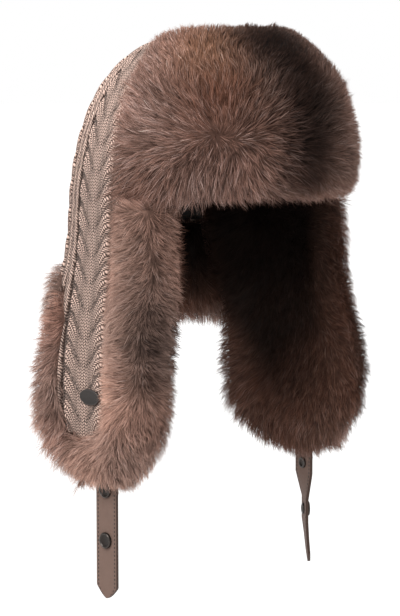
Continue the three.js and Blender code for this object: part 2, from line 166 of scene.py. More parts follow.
def dress(piece: bpy.types.Object, material: bpy.types.Material,
          replaced: Sequence[str] = ()) -> bpy.types.Object:
    """Give a piece its finish, its body and the solids that it stands for.

    Args:
        piece: The finished piece.
        material: Its finish.
        replaced: Names of the solids that it stands for.

    Returns:
        The same piece.
    """
    piece.data.materials.clear()
    piece.data.materials.append(material)
    if replaced:
        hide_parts(*replaced)
    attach(piece, BODY)
    piece.data.calc_loop_triangles()
    LOG.info("%s: %d triangles", piece.name, len(piece.data.loop_triangles))
    return piece


@dataclass(frozen=True)
class HatForm:
    """The wall of the hat, which every knitted, lined and furred surface follows."""

    half_width: float = 0.088
    half_depth: float = 0.108
    rise: float = 0.158
    top_level: float = 0.008
    roundness: float = 2.35
    flap_plane: float = 0.105
    flap_lean: float = 0.010
    flare_top: float = -0.130
    flare_bottom: float = -0.250
    lowest: float = -0.304
    seam: float = 0.060
    front_end: Span = (-0.104, -0.080)
    rear_end: Span = (0.066, 0.100)

    @property
    def band_level(self) -> float:
        """Level of the crown's widest ring."""
        return self.top_level - self.rise

    def flatness(self, y: Array, z: Array) -> Array:
        """Say how far the flap's flat plane has taken over from the round crown.

        Args:
            y: Places from front to rear.
            z: Levels.

        Returns:
            Shares from 0, round, to 1, flat.
        """
        down = smooth(-z, -self.flare_top, -self.flare_bottom)
        along = smooth(y, *self.front_end) * (1.0 - smooth(y, *self.rear_end))
        return down * along

    def wall_point(self, turn: Array, factor: Array, level: Array,
                   off: Array) -> Array:
        """Place points on the wall.

        Args:
            turn: Angles about Z in radians, from +X.
            factor: Size of the ring, 1 at the widest.
            level: Heights.
            off: Distances out from the knit's face.

        Returns:
            Points, one a row.
        """
        x = (self.half_width + off) * np.cos(turn) * factor
        y = (self.half_depth + off) * np.sin(turn) * factor
        flat = self.flatness(y, level)
        side = np.sign(x) * (self.flap_plane + off)
        return np.stack([x + (side - x) * flat, y - self.flap_lean * flat, level + 0.0 * x], axis=-1)

    def shell_point(self, turn: Array, descent: Array, off: Array) -> Array:
        """Place points by descent: 0 is the crown's top, 1 the widest level, 2 the lowest edge.

        Args:
            turn: Angles about Z in radians, from +X.
            descent: How far down the wall.
            off: Distances out from the knit's face.

        Returns:
            Points, one a row.
        """
        power = 2.0 / self.roundness
        lift = (1.0 - np.minimum(descent, 1.0)) * math.pi / 2
        dome = self.band_level + (self.rise + off) * np.sin(lift) ** power
        fall = self.band_level + (self.lowest - self.band_level) * np.maximum(descent - 1.0, 0.0)
        level = np.where(descent > 1.0, fall, dome)
        factor = np.where(descent > 1.0, 1.0, np.maximum(np.cos(lift), 0.0) ** power)
        return self.wall_point(turn, factor, level, off)


FORM = HatForm()


class Graph:
    """A material's node graph, with short calls that add and join its nodes."""

    def __init__(self, name: str) -> None:
        """Start an empty material with a Principled shader."""
        self.material = bpy.data.materials.new(name)
        self.material.use_nodes = True
        self.nodes = self.material.node_tree.nodes
        self.links = self.material.node_tree.links
        self.shader = self.nodes["Principled BSDF"]

    def set(self, **values: object) -> None:
        """Set the shader's own sockets, with underscores for spaces in their names."""
        for name, value in values.items():
            self.shader.inputs[name.replace("_", " ")].default_value = value

    def add(self, kind: str, **settings: object) -> bpy.types.Node:
        """Add a node and set its properties."""
        node = self.nodes.new("ShaderNode" + kind)
        for name, value in settings.items():
            setattr(node, name, value)
        return node

    def feed(self, node: bpy.types.Node, **sources: object) -> bpy.types.Node:
        """Give a node's sockets their values or links.

        Args:
            node: The node.
            **sources: A value or an output socket for each named input, i0 and so on by place.

        Returns:
            The same node.
        """
        for name, source in sources.items():
            key = int(name[1:]) if name[1:].isdigit() else name.replace("_", " ")
            target = node.inputs[key]
            if isinstance(source, Socket):
                self.links.new(source, target)
            else:
                target.default_value = source
        return node

    def math(self, operation: str, *sources: object, clamp: bool = False) -> Socket:
        """Work out a number from one to three sources."""
        node = self.add("Math", operation=operation, use_clamp=clamp)
        self.feed(node, **{f"i{k}": source for k, source in enumerate(sources)})
        return node.outputs[0]

    def noise(self, scale: float, detail: float = 3.0, roughness: float = 0.5) -> Socket:
        """Return noise of about that many cells a metre, on object coordinates."""
        node = self.add("TexNoise")
        self.feed(node, Vector=self.place(), Scale=scale, Detail=detail, Roughness=roughness)
        return node.outputs["Fac"]

    def place(self) -> Socket:
        """Return the object coordinates."""
        return self.add("TexCoord").outputs["Object"]

    def attribute(self, name: str, output: str = "Fac") -> Socket:
        """Read what a mesh stores under a name."""
        return self.add("Attribute", attribute_name=name).outputs[output]

    def axes(self, vector: Socket) -> Sequence[Socket]:
        """Split a vector into its three numbers."""
        return self.feed(self.add("SeparateXYZ"), Vector=vector).outputs

    def scaled(self, vector: Socket, factor: object) -> Socket:
        """Multiply a vector or colour by a number."""
        return self.feed(self.add("VectorMath", operation="SCALE"), i0=vector, Scale=factor).outputs[0]

    def blend(self, share: object, one: object, two: object) -> Socket:
        """Mix two colours."""
        return self.feed(self.add("Mix", data_type="RGBA"), i0=share, i6=one, i7=two).outputs[2]

    def tones(self, share: object, colour: Tint, low: float, high: float) -> Socket:
        """Mix two tones of one colour."""
        return self.blend(share, shaded(colour, low), shaded(colour, high))

    def colour(self, source: Socket) -> None:
        """Send a colour to the shader."""
        self.links.new(source, self.shader.inputs["Base Color"])

    def bump(self, height: Socket, distance: float, strength: float = 1.0,
             under: Socket | None = None) -> Socket:
        """Turn a height from 0 to 1 into relief of that many metres."""
        node = self.add("Bump")
        self.feed(node, Height=height, Distance=distance, Strength=strength)
        if under is not None:
            self.links.new(under, node.inputs["Normal"])
        return node.outputs["Normal"]

    def relief(self, normal: Socket) -> None:
        """Send a normal to the shader."""
        self.links.new(normal, self.shader.inputs["Normal"])


def shaded(colour: Tint, tone: float = 1.0) -> tuple[float, ...]:
    """Return an opaque colour at a tone, 1 leaving it as it is."""
    return (*(tone * part for part in colour), 1.0)


@dataclass(frozen=True)
class KnitWool:
    """Two-ply wool in stocking stitch, from a UV map that counts stitches and rows.

    The wool has painted light that makes it paler towards the top of the hat, painted shade between its
    stitches, and painted shade in its gutters and slits.
    """

    yarn: Tint = (0.880, 0.625, 0.518)
    painted_shade: Tint = (0.070, 0.040, 0.030)
    depth: float = 0.0015
    slant: float = 0.9
    plait_slant: float = 2.0
    wobble: float = 0.45
    # Painted light: rise and the three fields below make the wool brighter towards the top of the hat.
    rise: float = 6.0
    top_light_start: float = 1.62
    top_light_most: float = 1.55
    top_light_least: float = 0.96
    wobble_scale: float = 170.0
    cross_run: Span = (0.84, 0.08)
    roundness: float = 0.8
    ply_scale: float = 2300.0
    ply_tones: Span = (0.5, 0.78)
    ply_height: float = 0.22
    yarn_gaps: Span = (2.1, -0.75)
    # How the stitch height turns into painted shade between the yarns.
    wear_scale: float = 48.0
    wear: Span = (0.88, 1.08)
    plait_tones: Span = (-0.16, 1.04)
    hollow_shade_tones: Span = (-0.35, 1.0)
    hollow_shade_tone: float = 0.4

    def _stitch(self, g: Graph, plait: Socket) -> Socket:
        """Return the height of the stitches, whose two legs lean to the middle of their wale.

        Args:
            g: The material's graph.
            plait: 1 where the stitches are those of a rope.

        Returns:
            Heights from 0 between the yarns to 1 on them.
        """
        uv = g.add("UVMap", uv_map="stitches").outputs[0]
        wobble = g.math("MULTIPLY", g.math("SUBTRACT", g.noise(self.wobble_scale, 2.0), 0.5), self.wobble)
        across, down, _ = g.axes(uv)
        wale = g.math("ADD", across, wobble)
        row = g.math("ADD", down, wobble)
        off_middle = g.math("ABSOLUTE", g.math("SUBTRACT", g.math("FRACT", wale), 0.5))
        half = g.math("MULTIPLY", off_middle, 2.0)
        slant = g.math("MULTIPLY_ADD", plait, self.plait_slant - self.slant, self.slant)
        along = g.math("FRACT", g.math("ADD", row, g.math("MULTIPLY", half, slant)))
        leg = g.math("SINE", g.math("MULTIPLY", along, math.pi))
        run = [share * math.pi for share in self.cross_run]
        cross = g.math("SINE", g.math("MULTIPLY_ADD", half, *run))
        rounded = [g.math("POWER", part, self.roundness) for part in (leg, cross)]
        return g.math("MULTIPLY", *rounded, clamp=True)

    def make(self) -> bpy.types.Material:
        """Build the material."""
        g = Graph("knit_wool")
        g.set(Roughness=0.9, Sheen_Weight=0.08, Sheen_Roughness=0.5, Specular_IOR_Level=0.15)
        plait = g.attribute("plait")
        height = self._stitch(g, plait)
        ply = g.noise(self.ply_scale, 2.0)
        # Painted shade: where the stitches are low, between the yarns, the colour goes to the painted shade
        # colour.
        clear = g.math("MULTIPLY_ADD", height, *self.yarn_gaps, clamp=True)
        seen = g.math("MULTIPLY", clear, g.math("MULTIPLY_ADD", ply, *self.ply_tones), clamp=True)
        yarn = g.tones(g.noise(self.wear_scale, 3.0), self.yarn, *self.wear)
        # worn: the yarn's random worn tones, with painted shade between the stitches.
        worn = g.blend(seen, shaded(self.painted_shade), yarn)
        # Painted light: the colour brightens with height towards the top of the hat, and lift carries it.
        top_light = g.math("MULTIPLY_ADD", g.axes(g.place())[2], self.rise, self.top_light_start)
        top = g.math("MINIMUM", g.math("MAXIMUM", top_light, self.top_light_least), self.top_light_most)
        lift = g.math("MULTIPLY", top, g.math("MULTIPLY_ADD", plait, *self.plait_tones))
        # Painted shade in the gutters and slits: the colour goes darker where the stored share is high,
        # less on raised yarn.
        open_yarn = g.math("MULTIPLY_ADD", height, *self.hollow_shade_tones)
        deep = g.math("MULTIPLY", g.attribute("hollow_shade"), open_yarn)
        g.colour(g.blend(deep, g.scaled(worn, lift), shaded(self.painted_shade, self.hollow_shade_tone)))
        g.relief(g.bump(g.math("MULTIPLY_ADD", ply, self.ply_height, height), self.depth))
        return g.material


@dataclass(frozen=True)
class QuiltedSatin:
    """Black lining satin, with a fine weave and soft creases whose raised parts get a painted sheen."""

    dye: Tint = (0.0065, 0.0055, 0.005)
    crease_scale: float = 90.0
    crease_sheen_tones: Span = (1.0, 1.7)
    crease_height: float = 0.0012
    weave_scale: float = 900.0
    weave_height: float = 0.00008

    def make(self) -> bpy.types.Material:
        """Build the material."""
        g = Graph("lining_satin")
        g.set(Roughness=0.5, Specular_IOR_Level=0.3, Sheen_Weight=0.05)
        creases = g.noise(self.crease_scale, 4.0, 0.6)
        # Painted sheen: the colour is lighter on the raised parts of the creases.
        g.colour(g.tones(creases, self.dye, *self.crease_sheen_tones))
        weave = g.add("TexWave", wave_type="BANDS", bands_direction="DIAGONAL")
        g.feed(weave, Vector=g.place(), Scale=self.weave_scale, Distortion=0.4)
        fine = g.bump(weave.outputs["Fac"], self.weave_height, 0.5)
        g.relief(g.bump(creases, self.crease_height, 0.5, under=fine))
        return g.material


@dataclass(frozen=True)
class FurHair:
    """Fur whose colour is painted on each hair, darker at its root: partly the fur's own dark roots, partly
    painted shade deep in the pile.
    """

    name: str
    roughness: float = 0.62
    streak_scale: float = 300.0
    streak_tones: Span = (0.3, 0.85)

    def make(self) -> bpy.types.Material:
        """Build the material."""
        g = Graph(self.name)
        g.set(Roughness=self.roughness, Specular_IOR_Level=0.07)
        streaks = g.math("MULTIPLY_ADD", g.noise(self.streak_scale, 2.0), *self.streak_tones)
        g.colour(g.scaled(g.attribute("tint", "Color"), streaks))
        return g.material


@dataclass(frozen=True)
class Suede:
    """Taupe suede with a short nap, darker at its cut edges and sewn with dark thread along them."""

    hide: Tint = (0.168, 0.104, 0.081)
    stitch_step: float = 0.0030
    dash: Span = (3.0, 0.7)
    thread_cover: float = 0.95
    thread_light: float = 0.2
    thread_height: float = 0.0003
    nap_scale: float = 3200.0
    nap_light: float = 0.55
    nap_height: float = 0.00025
    cloud_scale: float = 120.0
    cloud_tones: Span = (0.82, 1.12)
    cloud_height: float = 0.0009
    edge_cover: float = 0.8
    edge_light: float = 0.28

    def make(self) -> bpy.types.Material:
        """Build the material."""
        g = Graph("strap_suede")
        g.set(Roughness=0.9, Specular_IOR_Level=0.12, Sheen_Weight=0.10, Sheen_Roughness=0.6)
        nap = g.noise(self.nap_scale, 4.0, 0.7)
        clouds = g.noise(self.cloud_scale, 4.0, 0.6)
        face = g.tones(clouds, self.hide, *self.cloud_tones)
        napped = shaded(self.hide, self.nap_light)
        speckled = g.blend(g.math("MULTIPLY", nap, 0.5), face, napped)
        beat = g.math("SINE", g.math("MULTIPLY", g.axes(g.place())[2], 2 * math.pi / self.stitch_step))
        dashes = g.math("MULTIPLY_ADD", beat, *self.dash, clamp=True)
        thread = g.math("MULTIPLY", g.attribute("seam"), dashes)
        sewn_share = g.math("MULTIPLY", thread, self.thread_cover)
        sewn = g.blend(sewn_share, speckled, shaded(self.hide, self.thread_light))
        edge = g.math("MULTIPLY", g.attribute("cut_edge"), self.edge_cover)
        g.colour(g.blend(edge, sewn, shaded(self.hide, self.edge_light)))
        fine = g.bump(nap, self.nap_height, 0.8)
        raised = g.bump(thread, self.thread_height, 0.8, under=fine)
        g.relief(g.bump(clouds, self.cloud_height, 0.5, under=raised))
        return g.material


@dataclass(frozen=True)
class Gunmetal:
    """Dark plated metal with a satin finish and paler rubbed edges."""

    name: str
    plating: Tint = (0.040, 0.034, 0.031)
    roughness: float = 0.36
    smudge_scale: float = 500.0
    smudge_tones: Span = (0.8, 1.25)
    smudge_gloss: float = 0.22
    rub_cover: float = 0.75
    rub_light: float = 2.2
    grain_scale: float = 5200.0
    grain_height: float = 0.00003

    def make(self) -> bpy.types.Material:
        """Build the material."""
        g = Graph(self.name)
        g.set(Metallic=1.0)
        smudges = g.noise(self.smudge_scale, 4.0, 0.6)
        plain = g.tones(smudges, self.plating, *self.smudge_tones)
        rubbed = g.math("MULTIPLY", g.attribute("rubbed"), self.rub_cover)
        g.colour(g.blend(rubbed, plain, shaded(self.plating, self.rub_light)))
        least = self.roughness - self.smudge_gloss / 2
        dull = g.math("MULTIPLY_ADD", smudges, self.smudge_gloss, least)
        g.links.new(dull, g.shader.inputs["Roughness"])
        g.relief(g.bump(g.noise(self.grain_scale, 2.0), self.grain_height, 0.5))
        return g.material


@dataclass(frozen=True)
class SideOutline:
    """An edge seen from the side, front to rear, as Y and Z; cloth is kept above it."""

    edge: tuple[tuple[float, float], ...]
    ceiling: float = 0.060

    def points(self) -> Array:
        """Return the edge's corners, one a row."""
        return np.array(self.edge) * MM

    def keeps(self, y: Array, z: Array) -> Array:
        """Say which places lie above the edge.

        Args:
            y: Places from front to rear.
            z: Levels.

        Returns:
            True for each place that stays.
        """
        edge = self.points()
        loop = np.vstack([edge, [edge[-1, 0], self.ceiling], [edge[0, 0], self.ceiling]])
        following = np.roll(loop, -1, axis=0)
        inside = np.zeros(len(y), bool)
        for (y0, z0), (y1, z1) in zip(loop, following):
            crosses = (z0 > z) != (z1 > z)
            rise = z1 - z0 if abs(z1 - z0) > TINY else TINY
            inside ^= crosses & (y < y0 + (z - z0) / rise * (y1 - y0))
        return inside

    def nearest(self, y: Array, z: Array) -> Array:
        """Move places to the edge.

        Args:
            y: Places from front to rear.
            z: Levels.

        Returns:
            The edge's nearest point for each place.
        """
        edge = self.points()
        place = np.stack([y, z], axis=-1)
        best = np.full(len(y), np.inf)
        found = place.copy()
        for start, end in zip(edge[:-1], edge[1:]):
            run = end - start
            share = np.clip((place - start) @ run / (run @ run), 0.0, 1.0)
            foot = start + share[:, None] * run
            away = np.linalg.norm(place - foot, axis=1)
            closer = away < best
            best[closer] = away[closer]
            found[closer] = foot[closer]
        return found


@dataclass(frozen=True)
class CablePattern:
    """Nested cable arms in a wide panel, a purl gutter on each side, and two plaited ropes between.

    Angles are in degrees about the crown, counted both ways from the nape to a seam under the brow.
    A slit lies between two arms. Its rows are a share of the panel's half width, and how many arms
    lower than at the panel's edge it lies there.
    """

    nape_turn: float = 90.0
    step: float = 39.0
    panel: float = 11.6
    gutter: float = 13.7
    pitch: float = 0.0206
    arm_level: float = -0.199
    ground: float = 0.0007
    arm: float = 0.0029
    rope: float = 0.0025
    rows_a_pitch: int = 9
    wales: int = 6
    arm_wales: float = 2.8
    degree: float = 0.00171
    fade: float = 0.55
    samples: int = 401
    arm_fill: float = 0.94
    arm_slope: float = 0.26
    slit_edge: Span = (0.01, 0.24)
    swell: Span = (0.2, 0.75)
    panel_edge: Span = (0.35, 1.0)
    gutter_floor: float = 0.0002
    # deep: relief heights over which the painted shade of the gutters and slits fades out.
    deep: Span = (0.0006, 0.0021)
    lean: Span = (0.25, 0.5)
    least: float = 0.02
    slit: tuple[tuple[float, float], ...] = (
        (0, 1), (0.2, 0.84), (0.34, 0.68), (0.5, 0.47), (0.6, 0.29), (0.7, 0.13), (0.85, 0.035), (1, 0),
    )

    @property
    def row(self) -> float:
        """Height of a row of stitches."""
        return self.pitch / self.rows_a_pitch

    def across(self, turn: Array) -> Array:
        """Return degrees from the middle of the nearest panel, with their sign."""
        around = (turn - self.nape_turn + FULL_TURN / 2) % FULL_TURN - FULL_TURN / 2
        return (around + self.step / 2) % self.step - self.step / 2

    def share(self, turn: Array) -> Array:
        """Return 0 at the middle of a panel and 1 at its edges."""
        return np.clip(np.abs(self.across(turn)) / self.panel, 0.0, 1.0)

    def down(self, descent: Array) -> Array:
        """Return how far down the cloth a descent is, along the side of the hat."""
        samples = np.linspace(0.0, 2.0, self.samples)
        side = FORM.shell_point(np.full(self.samples, math.pi), samples, 0.0 * samples)
        runs = np.concatenate([[0.0], np.cumsum(np.linalg.norm(np.diff(side, axis=0), axis=1))])
        return np.interp(descent, samples, runs)

    def arms(self, turn: Array, descent: Array) -> Array:
        """Count the arms down the cloth, a whole number at each slit.

        Args:
            turn: Degrees about the crown.
            descent: How far down the wall.

        Returns:
            The count, with shares of an arm.
        """
        fall = FORM.band_level - FORM.lowest
        start = self.down(np.array([1.0 + (FORM.band_level - self.arm_level) / fall]))[0]
        table = np.array(self.slit)
        slit = np.interp(self.share(turn), table[:, 0], table[:, 1])
        return (self.down(descent) - start) / self.pitch - slit

    def relief(self, turn: Array, descent: Array) -> Array:
        """Return the height of the pattern.

        Args:
            turn: Degrees about the crown.
            descent: How far down the wall.

        Returns:
            Heights off the knit's face.
        """
        away = np.abs(self.across(turn))
        share = self.share(turn)
        phase = self.arms(turn, descent) % 1.0
        hump = np.sqrt(np.sin(np.pi * np.clip(phase / self.arm_fill, 0.0, 1.0)))
        hump = hump * (1.0 - self.arm_slope * (1.0 - phase))
        level = 1.0 - smooth(share, *self.slit_edge) * (1.0 - hump)
        arms = self.ground + self.arm * (0.5 + 0.5 * smooth(share, *self.swell)) * level
        outer, inner = self.panel_edge
        panel = arms * smooth(-away, -self.panel - outer, -self.panel + inner)
        width = (self.step / 2 - self.gutter) / 2
        off_rope = (away - self.gutter - width) / width
        rope = self.rope * np.sqrt(np.clip(1.0 - off_rope ** 2, 0.0, 1.0))
        height = np.where(away > self.gutter, rope, np.maximum(panel, self.gutter_floor))
        return height * self.size(descent)

    def size(self, descent: Array) -> Array:
        """Return the share of its full height that the pattern has, less near the crown's top."""
        return np.clip(descent / self.fade, self.least, 1.0)

    def hollow_shade(self, turn: Array, descent: Array) -> Array:
        """Return how deep in a gutter or slit a place lies, from 0 to 1, as the share of painted shade that
        the wool gets there.
        """
        size = self.size(descent)
        return (1.0 - smooth(self.relief(turn, descent) / size, *self.deep)) * (0.3 + 0.7 * size)

    def plait(self, turn: Array) -> Array:
        """Return 1 on a rope, whose stitches are wide and steep, and 0 elsewhere."""
        return (np.abs(self.across(turn)) > self.gutter - 0.2).astype(float)

    def stitches(self, turn: Array, descent: Array) -> Array:
        """Return stitches across and rows down, as a UV map that leans with the arms.

        Args:
            turn: Degrees about the crown.
            descent: How far down the wall.

        Returns:
            The map, one row a point.
        """
        across = self.across(turn)
        away = np.abs(across)
        places = (0.0, self.panel, self.gutter, self.step / 2)
        plain = np.interp(away, places, (0.0, self.wales, self.wales + 1, self.wales + 2))
        lean = smooth(self.share(turn), *self.lean) * (away < self.panel)
        arm = self.arm_wales * (self.arms(turn, descent) % 1.0) + 0.45 * self.wales
        wale = plain + lean * (arm - plain)
        row = (self.down(descent) - 0.6 * lean * away * self.degree) / self.row
        return np.stack([wale * np.sign(across + TINY), -row], axis=-1)


@dataclass
class DomeCloth:
    """A cloth over the head that follows the hat's wall and is trimmed by a side outline."""

    name: str
    outline: SideOutline
    turns: Array
    descents: Array
    wall: float
    faces_out: bool
    off: Callable[[Array, Array], Array]
    pattern: CablePattern | None = None
    weld: float = 0.00002
    middle: tuple[float, float, float] = (0.0, 0.0, -0.15)

    def build(self) -> bpy.types.Object:
        """Make the cloth.

        Returns:
            The cloth as a closed wall.
        """
        rows = len(self.descents) - 1
        mesh, column, height = grid(self.name, len(self.turns) - 1, rows)
        turn = self.turns[column]
        descent = self.descents[np.rint((1.0 - height) * rows).astype(int)]
        place = FORM.shell_point(np.radians(turn), descent, self.off(turn, descent))
        place[descent == 0.0, :2] = 0.0
        mesh.vertices.foreach_set("co", place.ravel())
        if self.pattern is not None:
            self._write_maps(mesh, turn, descent)
        self._trim(mesh)
        piece = mesh_object(self.name, mesh)
        modify(piece, "wall", "SOLIDIFY", thickness=self.wall, offset=-1.0)
        bake(piece)
        return piece

    def _write_maps(self, mesh: bpy.types.Mesh, turn: Array, descent: Array) -> None:
        """Store the stitch map, the painted shade of the gutters and slits, and the ropes on the mesh.

        Args:
            mesh: The untrimmed grid.
            turn: Degrees about the crown of each vertex.
            descent: Descent of each vertex.
        """
        corners = np.zeros(len(mesh.loops), int)
        mesh.loops.foreach_get("vertex_index", corners)
        stitches = self.pattern.stitches(turn, descent)[corners]
        layer = mesh.uv_layers.new(name="stitches")
        layer.data.foreach_set("uv", stitches.astype(np.float32).ravel())
        store(mesh, "hollow_shade", self.pattern.hollow_shade(turn, descent))
        store(mesh, "plait", self.pattern.plait(turn))

    def _trim(self, mesh: bpy.types.Mesh) -> None:
        """Cut the grid along the outline, close its seam and pole, and turn it the right way.

        Args:
            mesh: The grid, changed in place.
        """
        work = bmesh.new()
        work.from_mesh(mesh)
        middles = np.array([face.calc_center_median() for face in work.faces])
        keeps = self.outline.keeps(middles[:, 1], middles[:, 2])
        gone = [face for face, kept in zip(work.faces, keeps) if not kept]
        bmesh.ops.delete(work, geom=gone, context="FACES")
        bmesh.ops.remove_doubles(work, verts=work.verts, dist=self.weld)
        rim = [vert for vert in work.verts if vert.is_boundary]
        place = np.array([vert.co for vert in rim])
        moved = self.outline.nearest(place[:, 1], place[:, 2])
        for vert, (y, z) in zip(rim, moved):
            vert.co.y = y
            vert.co.z = z
        bmesh.ops.recalc_face_normals(work, faces=work.faces)
        outward = sum(
            face.normal.dot(face.calc_center_median() - Vector(self.middle)) * face.calc_area()
            for face in work.faces
        )
        if (outward > 0) != self.faces_out:
            bmesh.ops.reverse_faces(work, faces=work.faces)
        work.to_mesh(mesh)
        work.free()


KNIT_EDGE = SideOutline((
    (-160, -106), (-18, -106), (-13, -136), (-9, -165), (-9, -192), (-19, -240), (-21, -262),
    (-14, -277), (-1, -288), (14, -291), (28, -288), (38, -276), (41, -262), (42, -205),
    (54, -184), (76, -169), (160, -165),
))
LINING_EDGE = SideOutline((
    (-160, -101), (-58, -101), (-52, -105.5), (60.2, -105.5), (60.6, -139.5), (160, -139.5),
))


@dataclass(frozen=True)
class Badge:
    """A plain oval plate on the near panel."""

    plating: Tint = (0.062, 0.056, 0.053)
    length: float = 0.0215
    height: float = 0.0118
    thickness: float = 0.0014
    y: float = 0.004
    z: float = -0.259
    rise: float = 0.0018
    bevel: float = 0.0003
    lip: float = 0.0004
    step: float = 0.0003
    sunk: float = 0.00012
    shielded: float = 1.35
    turns: int = 96

    def shields(self, place: Array) -> Array:
        """Say which places on the near panel lie under the plate or close by."""
        along = (place[:, 1] - self.y) / (self.length / 2)
        up = (place[:, 2] - self.z) / (self.height / 2)
        return (place[:, 0] < 0) & (along ** 2 + up ** 2 < self.shielded)

    def build(self) -> None:
        """Make the plate and dress it."""
        work = bmesh.new()
        bmesh.ops.create_cone(work, cap_ends=True, segments=self.turns, radius1=0.5, radius2=0.5,
                              depth=1.0)
        bmesh.ops.scale(work, vec=(self.height, self.length, self.thickness), verts=work.verts)
        rims = [edge for edge in work.edges if abs(edge.calc_face_angle(0.0)) > 1.0]
        bmesh.ops.bevel(work, geom=rims, offset=self.bevel, segments=3, profile=0.5,
                        affect="EDGES", material=-1)
        front = max(work.faces, key=lambda face: face.calc_center_median().z)
        rubbed = work.verts.layers.float.new("rubbed")
        for vert in work.verts:
            vert[rubbed] = 1.0 if vert.co.z > self.thickness / 2 - self.bevel * 1.01 else 0.0
        inner = bmesh.ops.inset_individual(work, faces=[front], thickness=self.lip, depth=0.0)
        bmesh.ops.inset_individual(work, faces=[front], thickness=self.step, depth=-self.sunk)
        for face in inner["faces"] + [front]:
            for vert in face.verts:
                vert[rubbed] = 0.35
        for vert in front.verts:
            vert[rubbed] = 0.0
        turn = Matrix(((0, 0, -1), (0, 1, 0), (1, 0, 0)))
        bmesh.ops.transform(work, matrix=turn.to_4x4(), verts=work.verts)
        out = FORM.flap_plane + self.rise + self.thickness / 2
        bmesh.ops.translate(work, vec=(-out, self.y, self.z), verts=work.verts)
        bmesh.ops.recalc_face_normals(work, faces=work.faces)
        mesh = bmesh_to_mesh(work, "badge_plate")
        plate = mesh_object("badge_plate", mesh)
        plate.data.set_sharp_from_angle(angle=math.radians(40))
        metal = Gunmetal("badge_gunmetal", plating=self.plating, roughness=0.5)
        dress(plate, metal.make(), ["badge"])


@dataclass(frozen=True)
class KnittedCrown:
    """The cable-knit wall: crown, nape panel and both ear panels in one piece."""

    wall: float = 0.0042
    pattern: CablePattern = field(default_factory=CablePattern)
    badge: Badge = field(default_factory=Badge)
    seen_from: float = -16.0
    seen_to: float = 196.0
    hidden_step: float = 5.0
    top_rows: int = 16
    dome_rows: int = 112
    fall_rows: int = 94
    lowest_descent: float = 1.925
    top_end: float = 0.2
    under_badge: float = 0.0014
    columns: tuple[float, ...] = (
        0, 1.8, 3.5, 5.0, 6.3, 7.5, 8.6, 9.6, 10.5, 11.1, 11.5, 11.9, 12.6, 13.4, 13.7, 14.1, 15.0,
        16.6, 18.2, 19.1,
    )

    def _off(self, turn: Array, descent: Array) -> Array:
        """Return the pattern's height, pressed flat under the plate."""
        height = self.pattern.relief(turn, descent)
        place = FORM.shell_point(np.radians(turn), descent, 0.0 * height)
        return np.where(self.badge.shields(place), np.minimum(height, self.under_badge), height)

    def build(self) -> None:
        """Make the knitted wall and its plate, and dress them."""
        half = np.array(self.columns)
        both = np.concatenate([-half[:0:-1], half, [self.pattern.step / 2]])
        fine = np.concatenate([self.pattern.nape_turn + k * self.pattern.step + both for k in range(-3, 4)])
        fine = fine[(fine > self.seen_from) & (fine < self.seen_to)]
        hidden = np.arange(self.seen_to, FULL_TURN + self.seen_from, self.hidden_step)
        turns = np.concatenate([[self.seen_from], fine, hidden, [FULL_TURN + self.seen_from]])
        top = np.linspace(0.0, self.top_end, self.top_rows + 1)
        dome = np.linspace(self.top_end, 1.0, self.dome_rows + 1)[1:]
        fall = np.linspace(1.0, self.lowest_descent, self.fall_rows + 1)[1:]
        cloth = DomeCloth("knit_crown", KNIT_EDGE, turns, np.concatenate([top, dome, fall]), self.wall,
                          True, self._off, self.pattern)
        dress(cloth.build(), KnitWool().make(), ["knit_shell"])
        self.badge.build()


@dataclass(frozen=True)
class QuiltedLining:
    """The padded black lining inside the crown, quilted in diamonds."""

    inner: float = -0.0080
    wall: float = 0.0028
    puff: float = 0.0012
    diamonds: int = 22
    row: float = 0.026
    columns: int = 132
    rows: int = 48

    def _off(self, turn: Array, descent: Array) -> Array:
        """Return the inner face's place, puffed between the quilting seams."""
        down = CablePattern().down(descent)
        one = turn / FULL_TURN * self.diamonds + down / self.row
        two = turn / FULL_TURN * self.diamonds - down / self.row
        puffed = np.abs(np.sin(np.pi * one) * np.sin(np.pi * two)) ** 0.4
        return self.inner + self.puff * (1.0 - puffed)

    def build(self) -> None:
        """Make the lining and dress it."""
        turns = np.linspace(0.0, FULL_TURN, self.columns + 1)
        descents = np.linspace(0.0, 1.0, self.rows + 1)
        cloth = DomeCloth("crown_lining_quilt", LINING_EDGE, turns, descents, self.wall, False, self._off)
        quilt = cloth.build()
        dress(quilt, QuiltedSatin().make(), ["crown_lining"])


@dataclass(frozen=True)
class Patch:
    """A soft spot of another colour in a fur, by its middle and reach in millimetres."""

    x: float
    y: float
    z: float
    reach: float
    tint: Tint
    strength: float = 0.9

    def weight(self, place: Array) -> Array:
        """Return how strongly the spot shows at each place."""
        away = np.linalg.norm(place - np.array((self.x, self.y, self.z)) * MM, axis=1)
        return self.strength * np.exp(-(away / (self.reach * MM)) ** 2)


@dataclass(frozen=True)
class Region:
    """A part of a fur and what is done there, by where that starts and is full along each axis."""

    gain: float
    x: Span | None = None
    y: Span | None = None
    z: Span | None = None

    def effect(self, place: Array) -> Array:
        """Return the gain at each place, less where the region fades out."""
        effect = np.full(len(place), self.gain)
        for values, span in zip(place.T, (self.x, self.y, self.z)):
            if span is not None:
                effect = effect * smooth(values, *span)
        return effect


def drift(place: Array, cell: float, seed: int) -> Array:
    """Return smooth waves about zero over space.

    Args:
        place: Points, one a row.
        cell: Length of a wave.
        seed: Chooses the waves.

    Returns:
        A number about -1 to 1 for each point.
    """
    rng = np.random.default_rng(seed)
    total = np.zeros(len(place))
    waves = 5
    for _ in range(waves):
        way = unit(rng.normal(size=3)) * 2 * math.pi / (cell * rng.uniform(0.7, 1.5))
        total += np.sin(place @ way + rng.uniform(0, 2 * math.pi))
    return total / math.sqrt(waves)


